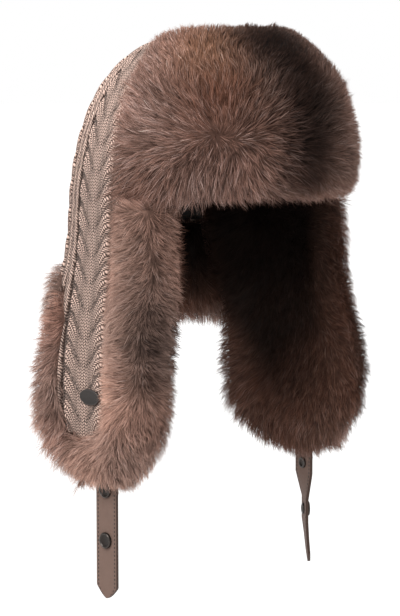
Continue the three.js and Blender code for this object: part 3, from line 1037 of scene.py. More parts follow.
@dataclass(frozen=True)
class Hair:
    """One kind of hair, each a closed spindle of three sides with its ring where it bends."""

    name: str
    length: float
    width: float
    ring: float
    flatness: float = 0.5
    root_angle: float = 60.0
    tip_angle: float = 24.0
    gather: float = 0.30
    tone_spread: float = 0.30

    def template(self) -> tuple[Array, Array, list[list[int]]]:
        """Make the spindle, or a spike where the ring is at the root.

        Returns:
            Each vertex's share of the length, its place in the section, and the faces.
        """
        work = bmesh.new()
        bmesh.ops.create_circle(work, segments=3, radius=1.0)
        bmesh.ops.translate(work, vec=(0, 0, self.ring), verts=work.verts)
        work.verts.new((0, 0, 1))
        if self.ring > 0:
            work.verts.new((0, 0, 0))
        bmesh.ops.convex_hull(work, input=work.verts)
        bmesh.ops.recalc_face_normals(work, faces=work.faces)
        work.verts.index_update()
        place = np.array([vert.co for vert in work.verts])
        faces = [[vert.index for vert in face.verts] for face in work.faces]
        work.free()
        return place[:, 2], place[:, :2], faces


GUARD = Hair("guard_hair", length=0.0172, width=0.00042, ring=0.45, root_angle=58.0, tip_angle=18.0)
DOWN = Hair("down", length=0.0132, width=0.00050, ring=0.0, root_angle=52.0, tip_angle=34.0, gather=0.22,
            tone_spread=0.22)


TAUPE = (0.395, 0.226, 0.178)
MID = (0.240, 0.134, 0.102)
REDDISH = (0.200, 0.080, 0.048)
TAN = (0.340, 0.162, 0.094)
DARK = (0.014, 0.0060, 0.0038)
SPOT = (0.050, 0.027, 0.021)
PALE = (0.540, 0.335, 0.260)
LIGHT = (0.450, 0.275, 0.217)
# Painted shade: the next colour goes on fur that faces the head, and the one after is a lighter half shade
# for its rims and the far flap's shaded front edge.
INSIDE_SHADE = (0.027, 0.0140, 0.0100)
RIM_SHADE = (0.150, 0.069, 0.046)


@dataclass(frozen=True)
class HairSpread:
    """How far hairs and locks differ: turns in radians, the rest as shares of the usual."""

    sway: float = 0.45
    sway_cell: float = 0.045
    turn: float = 0.24
    lock_turn: float = 0.28
    lock_length: Span = (0.78, 1.12)
    lock_rise: Span = (0.8, 1.2)
    lock_tone: float = 0.17
    length: Span = (0.6, 1.12)
    rise: Span = (0.88, 1.12)
    pull: Span = (0.6, 1.0)
    width: Span = (0.7, 1.3)
    bright: Span = (1.0, 1.7)
    grey: float = 0.35


@dataclass
class FurPelt:
    """A deep fur: a soft undercoat in its solid's form, and hair in locks that lie along a flow.

    Each fur of the hat is a class of its own, which says how its hair is combed and coloured.
    """

    node: str
    guards: int
    downs: int
    base: Tint
    patches: tuple[Patch, ...]
    seed: int
    # Spots in the painted shade of the fur that faces the head.
    inner_patches: tuple[Patch, ...] = ()
    contrast: float = 1.0
    usual_length: float = 1.0
    lengths: tuple[Region, ...] = ()
    cuts: tuple[Region, ...] = ()
    undercoat_depth: float = 0.0032
    voxel: float = 0.0040
    weld: float = 0.00001
    root_depth: float = 0.0012
    lock_hairs: int = 5
    cover: float = 0.006
    root_shade: float = 0.36
    standing_root: float = 68.0
    standing_tip: float = 48.0
    seam_stretch: float = 0.0046
    seam_reach: Span = (-0.016, -0.004)
    spread: HairSpread = HairSpread()
    soft_light: tuple[float, float, float] = (0.18, 0.82, 0.15)
    tip_shine: float = 0.30
    warm_cell: float = 0.060
    warmth: Tint = (0.10, 0.06, 0.04)
    mottle_cells: Span = (0.009, 0.030)
    mottle: float = 0.22
    # Painted shade: fur that faces the head is darker still higher inside the crown.
    upper_inner_shade: float = 0.5
    upper_inner_shade_levels: Span = (-0.205, -0.165)

    def flow(self, place: Array, normal: Array) -> Array:
        """Say how the hair is combed.

        Args:
            place: Roots, one a row.
            normal: The skin's normals there.

        Returns:
            The flow along the skin, shorter than one where hair stands up.
        """
        raise NotImplementedError

    def favour(self, place: Array, normal: Array) -> Array:
        """Return how densely hair grows at each place, 1 being usual."""
        return np.ones(len(place))

    def reach(self, place: Array) -> Array:
        """Return the share of its full length that hair has at each place."""
        length = np.full(len(place), self.usual_length)
        for region in self.lengths:
            length = length + region.effect(place)
        for region in self.cuts:
            length = length * (1.0 + region.effect(place))
        return length

    def inside(self, place: Array, normal: Array) -> Array:
        """Return how far each place faces the head, from 0 to 1, which sets its painted shade."""
        return np.zeros(len(place))

    def fit(self, place: Array, normal: Array) -> Array:
        """Return how far the undercoat moves at each place, which is nowhere unless a fur says so."""
        return np.zeros((len(place), 3))

    def _to_seam(self, place: Array, way: int) -> Array:
        """Stretch an undercoat's end to the seam where the nape's fur meets an ear flap's.

        Args:
            place: Points, one a row.
            way: 1 where the fur lies before the seam, -1 where it lies behind it.

        Returns:
            How far each point moves.
        """
        beyond = way * (place[:, 1] - FORM.seam)
        stretch = way * self.seam_stretch * smooth(beyond, *self.seam_reach)
        return stretch[:, None] * np.array((0.0, 1.0, 0.0))

    def skin(self) -> bpy.types.Object:
        """Make the undercoat from a merged copy of the solid.

        Returns:
            The undercoat, a little inside the solid's surface.
        """
        work = bmesh.new()
        work.from_mesh(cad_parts[self.node].data)
        bmesh.ops.remove_doubles(work, verts=work.verts, dist=self.weld)
        piece = mesh_object(self.node + "_undercoat", bmesh_to_mesh(work, self.node + "_undercoat"))
        modify(piece, "remesh", "REMESH", mode="VOXEL", voxel_size=self.voxel, use_smooth_shade=True)
        modify(piece, "soften", "SMOOTH", factor=0.6, iterations=5)
        modify(piece, "sink", "DISPLACE", strength=-self.undercoat_depth, mid_level=0.0)
        modify(piece, "again", "SMOOTH", factor=0.5, iterations=3)
        bake(piece)
        place = vectors(piece.data)
        moved = place + self.fit(place, vectors(piece.data, "normal"))
        piece.data.vertices.foreach_set("co", moved.ravel())
        piece.data.update()
        return piece

    def _covered(self, root: Array, normal: Array, walls: Sequence[BVHTree]) -> Array:
        """Say which roots lie under another piece, where no hair grows.

        Args:
            root: Where hairs would start.
            normal: The skin's normals there.
            walls: The neighbouring pieces.

        Returns:
            True for each root that is covered.
        """
        return np.array([
            any(wall.ray_cast(place, way, self.cover)[0] is not None for wall in walls)
            for place, way in zip(root, normal)
        ])

    def _roots(self, skin: bpy.types.Mesh, walls: Sequence[BVHTree], hairs: int,
               rng: np.random.Generator) -> tuple[Array, Array]:
        """Spread roots over the skin that shows.

        Args:
            skin: The undercoat's mesh.
            walls: The neighbouring pieces.
            hairs: How many hairs to root.
            rng: Source of the draws.

        Returns:
            Roots and the skin's normals, one a row.
        """
        skin.calc_loop_triangles()
        count = len(skin.loop_triangles)
        corner = np.zeros(count * 3, int)
        skin.loop_triangles.foreach_get("vertices", corner)
        corner = corner.reshape(-1, 3)
        place = vectors(skin)[corner]
        normal = vectors(skin, "normal")[corner]
        area = np.linalg.norm(np.cross(place[:, 1] - place[:, 0], place[:, 2] - place[:, 0]), axis=1)
        middle = place.mean(axis=1)
        facing = unit(normal.mean(axis=1))
        weight = area * ~self._covered(middle, facing, walls) * self.favour(middle, facing)
        pick = rng.choice(count, size=hairs, p=weight / weight.sum())
        first = np.sqrt(rng.random(hairs))
        second = rng.random(hairs)
        shares = np.stack([1 - first, first * (1 - second), first * second], axis=1)[:, :, None]
        return (place[pick] * shares).sum(axis=1), unit((normal[pick] * shares).sum(axis=1))

    def _spotted(self, base: Tint, patches: Sequence[Patch], place: Array) -> Array:
        """Return a base colour with its spots at each place."""
        tint = np.tile(np.array(base), (len(place), 1))
        for patch in patches:
            weight = patch.weight(place)[:, None]
            tint = tint * (1 - weight) + np.array(patch.tint) * weight
        return tint

    def _tint(self, place: Array, normal: Array) -> Array:
        """Return the fur's colour, with painted shade where it faces the head, and spots and slow drifts.

        Args:
            place: Points, one a row.
            normal: The skin's normals there.

        Returns:
            A colour for each point.
        """
        fine, coarse = self.mottle_cells
        mottle = (drift(place, fine, self.seed + 17) * drift(place, coarse, self.seed + 19))[:, None]
        warmth = 1.0 + drift(place, self.warm_cell, self.seed + 11)[:, None] * np.array(self.warmth)
        warmth = warmth * (1.0 + self.mottle * np.clip(mottle, -2.0, 2.0))
        outer = self._spotted(self.base, self.patches, place)
        # Painted shade: fur that faces the head goes near black, through a half shade at its rims, and
        # darker still higher inside the crown.
        inner = self._spotted(INSIDE_SHADE, self.inner_patches, place)
        inner = inner * (1.0 - self.upper_inner_shade * smooth(place[:, 2], *self.upper_inner_shade_levels))[:, None]
        inside = self.inside(place, normal)[:, None]
        rim_shade = np.minimum(2.0 * inside, 1.0)
        deep = np.maximum(2.0 * inside - 1.0, 0.0)
        rim_shaded = outer * (1 - rim_shade) + np.array(RIM_SHADE) * rim_shade
        return (rim_shaded * (1 - deep) + inner * deep) * warmth

    def _paths(self, hair: Hair, root: Array, normal: Array, way: Array,
               length: Array, rise: Array, shares: Array) -> Array:
        """Bend hairs from their roots towards their flow.

        Args:
            hair: The kind of hair.
            root: Roots, one a row.
            normal: The skin's normals.
            way: The flow along the skin, shorter than one where hair stands up.
            length: Each hair's length.
            rise: Each hair's share of extra lift.
            shares: Shares of the length at which points are wanted.

        Returns:
            Points by hair and share.
        """
        standing = 1 - np.minimum(np.linalg.norm(way, axis=1), 1.0)
        ahead = unit(way)
        start = np.radians(hair.root_angle + (self.standing_root - hair.root_angle) * standing) * rise
        end = np.radians(hair.tip_angle + (self.standing_tip - hair.tip_angle) * standing) * rise
        first, last = (normal * np.sin(angle)[:, None] + ahead * np.cos(angle)[:, None]
                       for angle in (start, end))
        t = shares[None, :, None]
        reach = length[:, None, None]
        return root[:, None] + reach * (t * first[:, None] + t * t / 2 * (last - first)[:, None])

    def _lock_of(self, root: Array) -> Array:
        """Return the number of the lock that each hair belongs to, by the nearest lock's middle."""
        middles = max(len(root) // self.lock_hairs, 1)
        tree = KDTree(middles)
        for k in range(middles):
            tree.insert(root[k], k)
        tree.balance()
        return np.array([tree.find(place)[1] for place in root])

    def _hair_tint(self, root: Array, normal: Array, tone: Array,
                   shares: Array) -> Array:
        """Colour hairs along their length, dark at the root, partly with painted shade, and greyer where
        they are bright.

        Args:
            root: Roots, one a row.
            normal: The skin's normals.
            tone: Each hair's brightness about 1.
            shares: Share of the length at each vertex of a hair.

        Returns:
            Colours by hair and vertex.
        """
        # Dark roots: partly the fur's own colour, partly painted shade deep in the pile.
        fade = self.root_shade + (1.0 - self.root_shade) * smooth(shares, 0.1, 0.9)
        fade = fade + self.tip_shine * shares
        own = self._tint(root, normal)
        grey = self.spread.grey * smooth(tone, *self.spread.bright)[:, None]
        own = own * (1 - grey) + own.mean(axis=1, keepdims=True) * grey
        return own[:, None] * (tone[:, None] * fade[None, :])[:, :, None]

    def grow(self, skin: bpy.types.Object, walls: Sequence[BVHTree], hair: Hair,
             hairs: int) -> bpy.types.Object:
        """Grow one kind of hair.

        Args:
            skin: The undercoat.
            walls: The neighbouring pieces.
            hair: The kind of hair.
            hairs: How many of it.

        Returns:
            The hairs as one mesh.
        """
        rng = np.random.default_rng([self.seed, hairs])
        root, normal = self._roots(skin.data, walls, hairs, rng)
        way = self.flow(root, normal)
        spread = self.spread
        stray = spread.sway * drift(root, spread.sway_cell, self.seed + 1)
        stray = stray + rng.normal(0, spread.turn, hairs)
        way = way + np.cross(normal, way) * stray[:, None]
        way = way - normal * np.einsum("ij,ij->i", way, normal)[:, None]
        lock = self._lock_of(root)
        locks = lock.max() + 1
        way = way + np.cross(normal, way) * rng.normal(0, spread.lock_turn, locks)[lock][:, None]
        lock_length = rng.uniform(*spread.lock_length, locks)
        lock_rise = rng.uniform(*spread.lock_rise, locks)
        lock_tone = rng.normal(1.0, spread.lock_tone * self.contrast, locks)
        longest = hair.length * self.reach(root)
        length = longest * lock_length[lock] * rng.uniform(*spread.length, hairs)
        rise = lock_rise[lock] * rng.uniform(*spread.rise, hairs)
        along, section, faces = hair.template()
        shares, ring = np.unique(np.round(along, 6), return_inverse=True)
        path = self._paths(hair, root, normal, way, length, rise, shares)
        leader = self._paths(hair, root[:locks], normal[:locks], way[:locks],
                             longest[:locks] * lock_length, lock_rise, shares)[lock]
        pull = hair.gather * shares ** 1.4 * rng.uniform(*spread.pull, hairs)[:, None]
        path = path + pull[:, :, None] * (leader - path)
        path[:, 0] = root - normal * self.root_depth
        run = np.gradient(path, axis=1)
        side = unit(np.cross(normal[:, None] + 0.0 * run, run))
        up = unit(np.cross(run, side))[:, ring]
        side = side[:, ring]
        width = hair.width * rng.uniform(*spread.width, hairs)[:, None]
        broad = side * (width * section[:, 0])[:, :, None] / 2
        thick = up * (width * section[:, 1] * hair.flatness)[:, :, None] / 2
        own = unit(side * section[:, 0][:, None] + up * section[:, 1][:, None] + 1e-6 * normal[:, None])
        of_skin, of_hair, of_top = self.soft_light
        shading = unit(of_skin * normal[:, None] + of_hair * own + of_top * up)
        tone = lock_tone[lock] * np.exp(rng.normal(0.0, hair.tone_spread * self.contrast, hairs))
        tint = self._hair_tint(root, normal, tone, shares[ring])
        return self._joined(hair.name, path[:, ring] + broad + thick, faces, tint, shading)

    def _joined(self, kind: str, place: Array, faces: list[list[int]], tint: Array,
                shading: Array) -> bpy.types.Object:
        """Join the hairs in one mesh with their colours and soft normals.

        Args:
            kind: Name of the kind of hair.
            place: Points by hair and vertex.
            faces: The faces of one hair.
            tint: Colours by hair and vertex.
            shading: Normals by hair and vertex.

        Returns:
            The mesh's object.
        """
        count, size = place.shape[:2]
        corners = np.array([corner for face in faces for corner in face])
        loops = (np.arange(count)[:, None] * size + corners[None, :]).ravel()
        totals = np.tile([len(face) for face in faces], count)
        mesh = bpy.data.meshes.new(f"{self.node}_{kind}")
        mesh.vertices.add(count * size)
        mesh.vertices.foreach_set("co", place.ravel())
        mesh.loops.add(len(loops))
        mesh.loops.foreach_set("vertex_index", loops)
        mesh.polygons.add(len(totals))
        mesh.polygons.foreach_set("loop_start", np.concatenate([[0], np.cumsum(totals)[:-1]]))
        mesh.polygons.foreach_set("use_smooth", np.ones(len(totals), bool))
        mesh.update(calc_edges=True)
        self._paint(mesh, tint.reshape(-1, 3))
        mesh.normals_split_custom_set_from_vertices(shading.reshape(-1, 3).tolist())
        return mesh_object(mesh.name, mesh)

    def _paint(self, mesh: bpy.types.Mesh, tint: Array) -> None:
        """Store a colour for each vertex."""
        layer = mesh.color_attributes.new("tint", "FLOAT_COLOR", "POINT")
        colours = np.concatenate([np.clip(tint, 0.0, 1.0), np.ones((len(tint), 1))], axis=1)
        layer.data.foreach_set("color", colours.astype(np.float32).ravel())

    def build(self, walls: Sequence[BVHTree]) -> None:
        """Make the undercoat and its hair, and dress them.

        Args:
            walls: The neighbouring pieces, under which no hair grows.
        """
        skin = self.skin()
        kinds = [self.grow(skin, walls, GUARD, self.guards), self.grow(skin, walls, DOWN, self.downs)]
        tint = self._tint(vectors(skin.data), vectors(skin.data, "normal"))
        # The undercoat takes the roots' dark tone: painted shade under the hair, partly the fur's own
        # colour.
        self._paint(skin.data, tint * self.root_shade)
        coat = FurHair(self.node + "_coat").make()
        for piece in [skin] + kinds:
            dress(piece, coat, [self.node])


def wall_tree(node: str) -> BVHTree:
    """Return a search tree of a solid, for finding what covers a root."""
    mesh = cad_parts[node].data
    mesh.calc_loop_triangles()
    corners = [tuple(triangle.vertices) for triangle in mesh.loop_triangles]
    return BVHTree.FromPolygons([vert.co.copy() for vert in mesh.vertices], corners)


def capped(way: Array, normal: Array) -> Array:
    """Lay a flow on the skin and keep it no longer than one."""
    flat = way - normal * np.einsum("ij,ij->i", way, normal)[:, None]
    return flat / np.maximum(np.linalg.norm(flat, axis=1), 1.0)[:, None]


@dataclass
class BrowPelt(FurPelt):
    """The turned-up front flap, combed away from a whorl on the wearer's right."""

    node: str = "front_flap_fur"
    guards: int = 22000
    downs: int = 28000
    base: Tint = MID
    patches: tuple[Patch, ...] = (
        Patch(-77, -97, -95, 36, TAUPE, 0.5), Patch(-93, -47, -47, 34, TAUPE, 1),
        Patch(-77, -40, -8, 28, TAUPE, 1), Patch(-63, -97, -36, 26, REDDISH, 0.8),
        Patch(-79, -74, -33, 20, REDDISH, 0.5), Patch(-60, -71, 0, 30, TAN, 0.95),
        Patch(-27, -88, 4, 20, DARK, 0.8), Patch(-4, -94, 6, 34, DARK, 1),
        Patch(-4, -112, -20, 30, DARK, 1), Patch(-10, -122, -45, 26, DARK, 1),
        Patch(-16, -130, -68, 24, DARK, 0.95), Patch(-18, -130, -92, 22, DARK, 0.8),
        Patch(50, -110, -75, 36, MID, 0.6), Patch(85, -60, -60, 50, TAUPE, 0.7),
        Patch(-80, -96, -70, 9, SPOT, 0.5), Patch(-66, -103, -86, 7, SPOT, 0.5),
        Patch(-88, -82, -82, 8, SPOT, 0.5), Patch(-50, -106, -62, 8, SPOT, 0.4),
        Patch(-58, -106, -84, 9, TAUPE, 0.6),
    )
    seed: int = 11
    contrast: float = 1.15
    whorl_side: float = -43.0
    whorl_level: float = -0.064
    whorl_width: float = 34.0
    whorl_height: float = 0.034
    fullest: float = 1.1
    back_lean: float = 0.55
    usual_length: float = 0.92
    lengths: tuple[Region, ...] = (
        Region(-0.32, z=(-0.045, -0.005)), Region(-0.26, x=(-0.060, -0.020), z=(-0.045, -0.005)),
        Region(-0.22, x=(0.030, 0.000), z=(-0.095, -0.115)),
        Region(0.85, x=(-0.070, -0.085), z=(-0.085, -0.110)),
        Region(0.60, x=(0.030, 0.070), z=(-0.100, -0.112)),
    )
    cuts: tuple[Region, ...] = (Region(-0.36, x=(0.030, 0.070), z=(-0.105, -0.085)),)
    drawn_in: Region = Region(-0.0042, x=(0.015, 0.060), z=(-0.112, -0.092))
    left_out: Region = Region(-0.9, z=(-0.065, -0.020))

    def flow(self, place: Array, normal: Array) -> Array:
        """Comb the hair out of the whorl, whose middle stands up."""
        around = np.arctan2(place[:, 0] / FORM.half_width, -place[:, 1] / FORM.half_depth)
        angle = np.arctan2(place[:, 0], -place[:, 1])
        aside = np.stack([np.cos(angle), np.sin(angle), 0 * angle], axis=1)
        lean = self.back_lean
        upward = np.stack([-lean * np.sin(angle), lean * np.cos(angle), 1 + 0 * angle], axis=1)
        sway = (np.degrees(around) - self.whorl_side) / self.whorl_width
        climb = (place[:, 2] - self.whorl_level) / self.whorl_height
        sway, climb = (np.clip(share, -self.fullest, self.fullest)[:, None] for share in (sway, climb))
        return capped(aside * sway + upward * climb, normal)

    def fit(self, place: Array, normal: Array) -> Array:
        """Draw the far end of the undercoat in."""
        depth = self.drawn_in.effect(place) * (1.0 + self.left_out.effect(place))
        return depth[:, None] * normal


@dataclass
class NapePelt(FurPelt):
    """The nape's fur, combed down and a little out."""

    node: str = "nape_fur"
    guards: int = 6500
    downs: int = 13000
    base: Tint = LIGHT
    patches: tuple[Patch, ...] = (
        Patch(0, 110, -200, 40, TAUPE, 0.6), Patch(60, 90, -200, 30, REDDISH, 0.4),
    )
    # A spot of lighter half shade in the painted shade of the inner face.
    inner_patches: tuple[Patch, ...] = (Patch(50, 60, -212, 30, RIM_SHADE, 0.9),)
    seed: int = 23
    turned: Span = (-0.1, 0.5)
    ends: Span = (0.070, 0.086)
    rim: Region = Region(-0.85, z=(-0.190, -0.215))
    fanned: float = 4.0
    outward: float = 0.25
    combed: float = 1.5

    def flow(self, place: Array, normal: Array) -> Array:
        """Comb the hair down and a little out."""
        nothing = 0 * place[:, 0]
        down = np.stack([self.fanned * place[:, 0], self.outward + nothing, -1 + nothing], axis=1)
        return capped(self.combed * unit(down), normal)

    def inside(self, place: Array, normal: Array) -> Array:
        """Say how far a place faces the head, away from the lower rim and the ends, which sets its painted
        shade.
        """
        facing = smooth(-normal[:, 1], *self.turned) * (1.0 - smooth(np.abs(place[:, 0]), *self.ends))
        return facing * (1.0 + self.rim.effect(place))

    def fit(self, place: Array, normal: Array) -> Array:
        """Stretch the undercoat forward to the seams."""
        return self._to_seam(place, -1)


@dataclass
class NearEarPelt(FurPelt):
    """An ear flap's fur, combed out from its panel and down, with a parting along its front."""

    node: str = "ear_fur_right"
    guards: int = 19000
    downs: int = 25000
    base: Tint = LIGHT
    patches: tuple[Patch, ...] = (
        Patch(-114, -38, -150, 22, PALE, 0.9), Patch(-119, -36, -200, 22, PALE, 0.9),
        Patch(-122, -40, -250, 22, PALE, 0.7), Patch(-118, 0, -304, 36, PALE, 0.5),
        Patch(-104, -66, -150, 22, MID, 0.9), Patch(-106, -68, -195, 24, MID, 0.95),
        Patch(-109, -64, -168, 11, SPOT, 0.6), Patch(-112, -64, -190, 11, SPOT, 0.7),
        Patch(-112, -65, -213, 13, SPOT, 0.85), Patch(-113, -66, -238, 14, SPOT, 0.8),
        Patch(-104, -70, -270, 22, MID, 0.8), Patch(-106, 52, -213, 30, TAUPE, 0.8),
        Patch(-110, 45, -290, 30, TAUPE, 0.5), Patch(-98, -62, -122, 16, MID, 0.9),
    )
    seed: int = 37
    contrast: float = 0.6
    middle_y: float = 0.010
    half_depth: float = 0.050
    middle_z: float = -0.200
    half_height: float = 0.100
    parting: Span = (-0.068, -0.048)
    combed: float = 1.6
    trim: Region = Region(1.0, y=(-0.026, -0.040), z=(-0.285, -0.245))
    trim_turned: Span = (-0.6, 0.0)
    hang: float = 0.95
    spill_down: float = 0.4
    turned_in: tuple[float, float, float] = (0.9, 0.2, 0.75)
    outer_favour: float = 0.6
    outer_turn: float = -0.2
    usual_length: float = 0.92
    lengths: tuple[Region, ...] = (
        Region(0.02, y=(0.015, 0.045)), Region(0.30, y=(0.015, 0.045), z=(-0.235, -0.285)),
        Region(-0.24, y=(-0.048, -0.062)), Region(-0.1, z=(-0.280, -0.300)),
    )
    turned: Span = (-0.1, 0.5)
    hollow_y: float = -0.004
    hollow_depth: float = 0.066
    hollow_level: float = -0.215
    hollow_height: float = 0.090
    hollow_fade: Span = (0.45, 0.95)

    def flow(self, place: Array, normal: Array) -> Array:
        """Comb the hair out and down.

        Behind the parting it spills over the knit's edge, and before it it turns inwards.

        Args:
            place: Roots, one a row.
            normal: The skin's normals there.

        Returns:
            The flow.
        """
        side = np.sign(place[:, 0])
        nothing = 0 * side
        along = (place[:, 1] - self.middle_y) / self.half_depth
        down = (place[:, 2] - self.middle_z) / self.half_height - self.hang
        outward = np.stack([nothing, along, down], axis=1)
        behind = smooth(place[:, 1], *self.parting)[:, None]
        spill = np.stack([nothing, nothing + 1.0, nothing - self.spill_down], axis=1)
        to_side, to_front, to_ground = self.turned_in
        inward = np.stack([-to_side * side, nothing - to_front, nothing - to_ground], axis=1)
        parted = spill * behind + inward * (1 - behind)
        trim = (self.trim.effect(place) * smooth(normal[:, 0] * side, *self.trim_turned))[:, None]
        way = unit(unit(outward) * (1 - trim) + unit(parted) * trim)
        return capped(self.combed * way, normal)

    def favour(self, place: Array, normal: Array) -> Array:
        """Favour the outer face."""
        return 1.0 + self.outer_favour * (normal[:, 0] * np.sign(place[:, 0]) > self.outer_turn)

    def inside(self, place: Array, normal: Array) -> Array:
        """Say how far a place faces the head, away from the flap's rim, which sets its painted shade."""
        facing = smooth(-normal[:, 0] * np.sign(place[:, 0]), *self.turned)
        off_middle = (place[:, 1] - self.hollow_y) / self.hollow_depth
        return facing * (1.0 - self._rim(place, off_middle))

    def _rim(self, place: Array, off_middle: Array) -> Array:
        """Return 1 at the rim of the flap's inner face and 0 in its middle.

        Args:
            place: Points, one a row.
            off_middle: How far before or behind the middle each lies, 1 being the rim.

        Returns:
            A share for each point.
        """
        below = np.maximum(self.hollow_level - place[:, 2], 0.0) / self.hollow_height
        return smooth(np.hypot(off_middle, below), *self.hollow_fade)

    def fit(self, place: Array, normal: Array) -> Array:
        """Stretch the undercoat back to the seam."""
        return self._to_seam(place, 1)


@dataclass
class FarEarPelt(NearEarPelt):
    """The fur of the wearer's left ear flap, whose inside the camera sees."""

    node: str = "ear_fur_left"
    guards: int = 16000
    downs: int = 23000
    # The half-shade spots along the front edge are painted shade.
    patches: tuple[Patch, ...] = (
        Patch(119, -36, -200, 40, PALE, 0.8), Patch(118, 10, -304, 34, TAUPE, 0.6),
        Patch(102, -68, -160, 34, RIM_SHADE, 1), Patch(106, -68, -210, 34, RIM_SHADE, 1),
        Patch(106, -68, -270, 34, RIM_SHADE, 1), Patch(106, 52, -213, 28, REDDISH, 0.5),
        Patch(84, 55, -270, 34, MID, 0.9), Patch(86, 10, -316, 34, MID, 0.8),
    )
    # Spots of lighter half shade in the painted shade of the inner face.
    inner_patches: tuple[Patch, ...] = (
        Patch(84, -46, -285, 30, RIM_SHADE, 1), Patch(84, 10, -304, 18, RIM_SHADE, 0.7),
        Patch(84, 50, -258, 22, RIM_SHADE, 0.7), Patch(86, -60, -240, 24, RIM_SHADE, 0.9),
        Patch(84, -62, -190, 18, RIM_SHADE, 0.6), Patch(84, -20, -250, 16, RIM_SHADE, 0.3),
    )
    seed: int = 41
    contrast: float = 1.0
    turned: Span = (-0.2, 0.5)
    hollow_y: float = -0.02
    hollow_front: float = 0.055
    hollow_rear: float = 0.130
    rear_narrowing: Region = Region(0.055, z=(-0.190, -0.245))
    hollow_height: float = 0.085
    hollow_fade: Span = (0.40, 0.95)
    rim_share: float = 0.55
    end_turned: Span = (0.1, 0.7)
    end: Region = Region(1.0, z=(-0.300, -0.200))
    end_shade: float = 0.95
    end_light: Region = Region(0.55, x=(0.066, 0.108))

    def inside(self, place: Array, normal: Array) -> Array:
        """Say how far a place faces the head, which sets its painted shade, with painted shade on the
        flap's front end too.

        Args:
            place: Points, one a row.
            normal: The skin's normals there.

        Returns:
            Shares from 0 outside, about a half at the rim, to 1 well inside.
        """
        facing = smooth(-normal[:, 0], *self.turned)
        behind = place[:, 1] - self.hollow_y
        rear = self.hollow_rear - self.rear_narrowing.effect(place)
        rim = self._rim(place, behind / np.where(behind > 0.0, rear, self.hollow_front))
        end = smooth(-normal[:, 1], *self.end_turned) * self.end.effect(place)
        corner = end * (self.end_shade - self.end_light.effect(place))
        return np.maximum(facing * (1.0 - self.rim_share * rim), corner)


@dataclass(frozen=True)
class Strap:
    """A suede strap under an ear flap with two snaps; the left one hangs lower and twisted.

    The hang's rows are a level, a distance out, a twist in degrees and a lean, lengths in
    millimetres. Columns and the stitched band are shares of the half width.
    """

    side: Side
    width: float = 0.022
    thickness: float = 0.0022
    middle_y: float = -0.0134
    shoulder: float = -0.399
    tip: float = -0.408
    left_drop: float = 0.008
    hang: tuple[tuple[float, float, float, float], ...] = (
        (-270, 98.9, 0, 0), (-291, 98.9, 0, 0), (-305, 102.5, 6, 0), (-318, 106, 14, 0), (-334, 106, 14, 0),
        (-345, 106, 27, 0.5), (-355, 106, 38, 1), (-373, 106, 38, 1), (-386, 106, 41, 2.2),
        (-399, 106, 42, 3.4), (-408, 106, 42, 4.2),
    )
    snap_levels: tuple[tuple[str, float], ...] = (("upper", -0.326), ("lower", -0.364))
    columns: tuple[float, ...] = (
        -1, -0.95, -0.89, -0.86, -0.78, -0.75, -0.5, 0, 0.5, 0.75, 0.78, 0.86, 0.89, 0.95, 1,
    )
    stitched: tuple[float, float] = (0.77, 0.87)
    cut: float = 0.97
    rows: int = 92
    row_crowding: float = 1.25
    nose_roundness: float = 0.68
    weld: float = 0.00002
    soft_edge: float = 0.0004

    @property
    def hand(self) -> str:
        """Name of the wearer's hand."""
        return self.side.name.lower()

    @property
    def top(self) -> float:
        """Level of the strap's upper end."""
        return self.hang[0][0] * MM

    def lay(self, level: Array) -> tuple[Array, Array, Array]:
        """Say how the strap lies at each level.

        Args:
            level: Levels before the left strap's drop.

        Returns:
            The strap's middle, the way along its width, and the way its outer face looks.
        """
        table = np.array(self.hang)
        fall = -table[:, 0] * MM
        out = np.interp(-level, fall, table[:, 1] * MM)
        loose = 0.0 if self.side is Side.RIGHT else 1.0
        twist = np.radians(np.interp(-level, fall, table[:, 2])) * loose
        lean = np.interp(-level, fall, table[:, 3] * MM) * loose
        drop = self.left_drop * loose
        middle = np.stack([self.side.value * (out + lean), self.middle_y - lean / 2, level - drop], axis=-1)
        along = np.stack([np.sin(twist), np.cos(twist), 0 * twist], axis=-1)
        face = np.stack([np.cos(twist), -np.sin(twist), 0 * twist], axis=-1)
        return middle, along, face

    def _ribbon(self) -> bpy.types.Mesh:
        """Make the strap's middle surface with its cut edges and stitches marked.

        Returns:
            The surface, closed to a point at its tip.
        """
        mesh, column, height = grid(f"strap_{self.hand}_suede", len(self.columns) - 1, self.rows)
        across = np.array(self.columns)[column]
        level = self.tip + (self.top - self.tip) * height ** self.row_crowding
        middle, along, _ = self.lay(level)
        shoulder = np.clip((level - self.tip) / (self.shoulder - self.tip), 0.0, 1.0)
        nose = shoulder ** self.nose_roundness
        place = middle + along * (across * nose * self.width / 2)[:, None]
        mesh.vertices.foreach_set("co", place.ravel())
        off_middle = np.abs(across)
        store(mesh, "cut_edge", off_middle > self.cut)
        store(mesh, "seam", (off_middle > self.stitched[0]) & (off_middle < self.stitched[1]))
        work = bmesh.new()
        work.from_mesh(mesh)
        bmesh.ops.remove_doubles(work, verts=work.verts, dist=self.weld)
        work.to_mesh(mesh)
        work.free()
        return mesh

    def build(self) -> None:
        """Make the strap and its snaps, and dress them."""
        mesh = self._ribbon()
        piece = mesh_object(mesh.name, mesh)
        modify(piece, "wall", "SOLIDIFY", thickness=self.thickness, offset=0.0)
        modify(piece, "round_over", "BEVEL", width=self.soft_edge, segments=2, limit_method="ANGLE",
               angle_limit=math.radians(50))
        bake(piece)
        piece.data.set_sharp_from_angle(angle=math.radians(40))
        dress(piece, Suede().make(), [f"strap_{self.hand}"])
        for place_name, level_at in self.snap_levels:
            Snap().build(f"snap_{self.hand}_{place_name}", self, level_at)


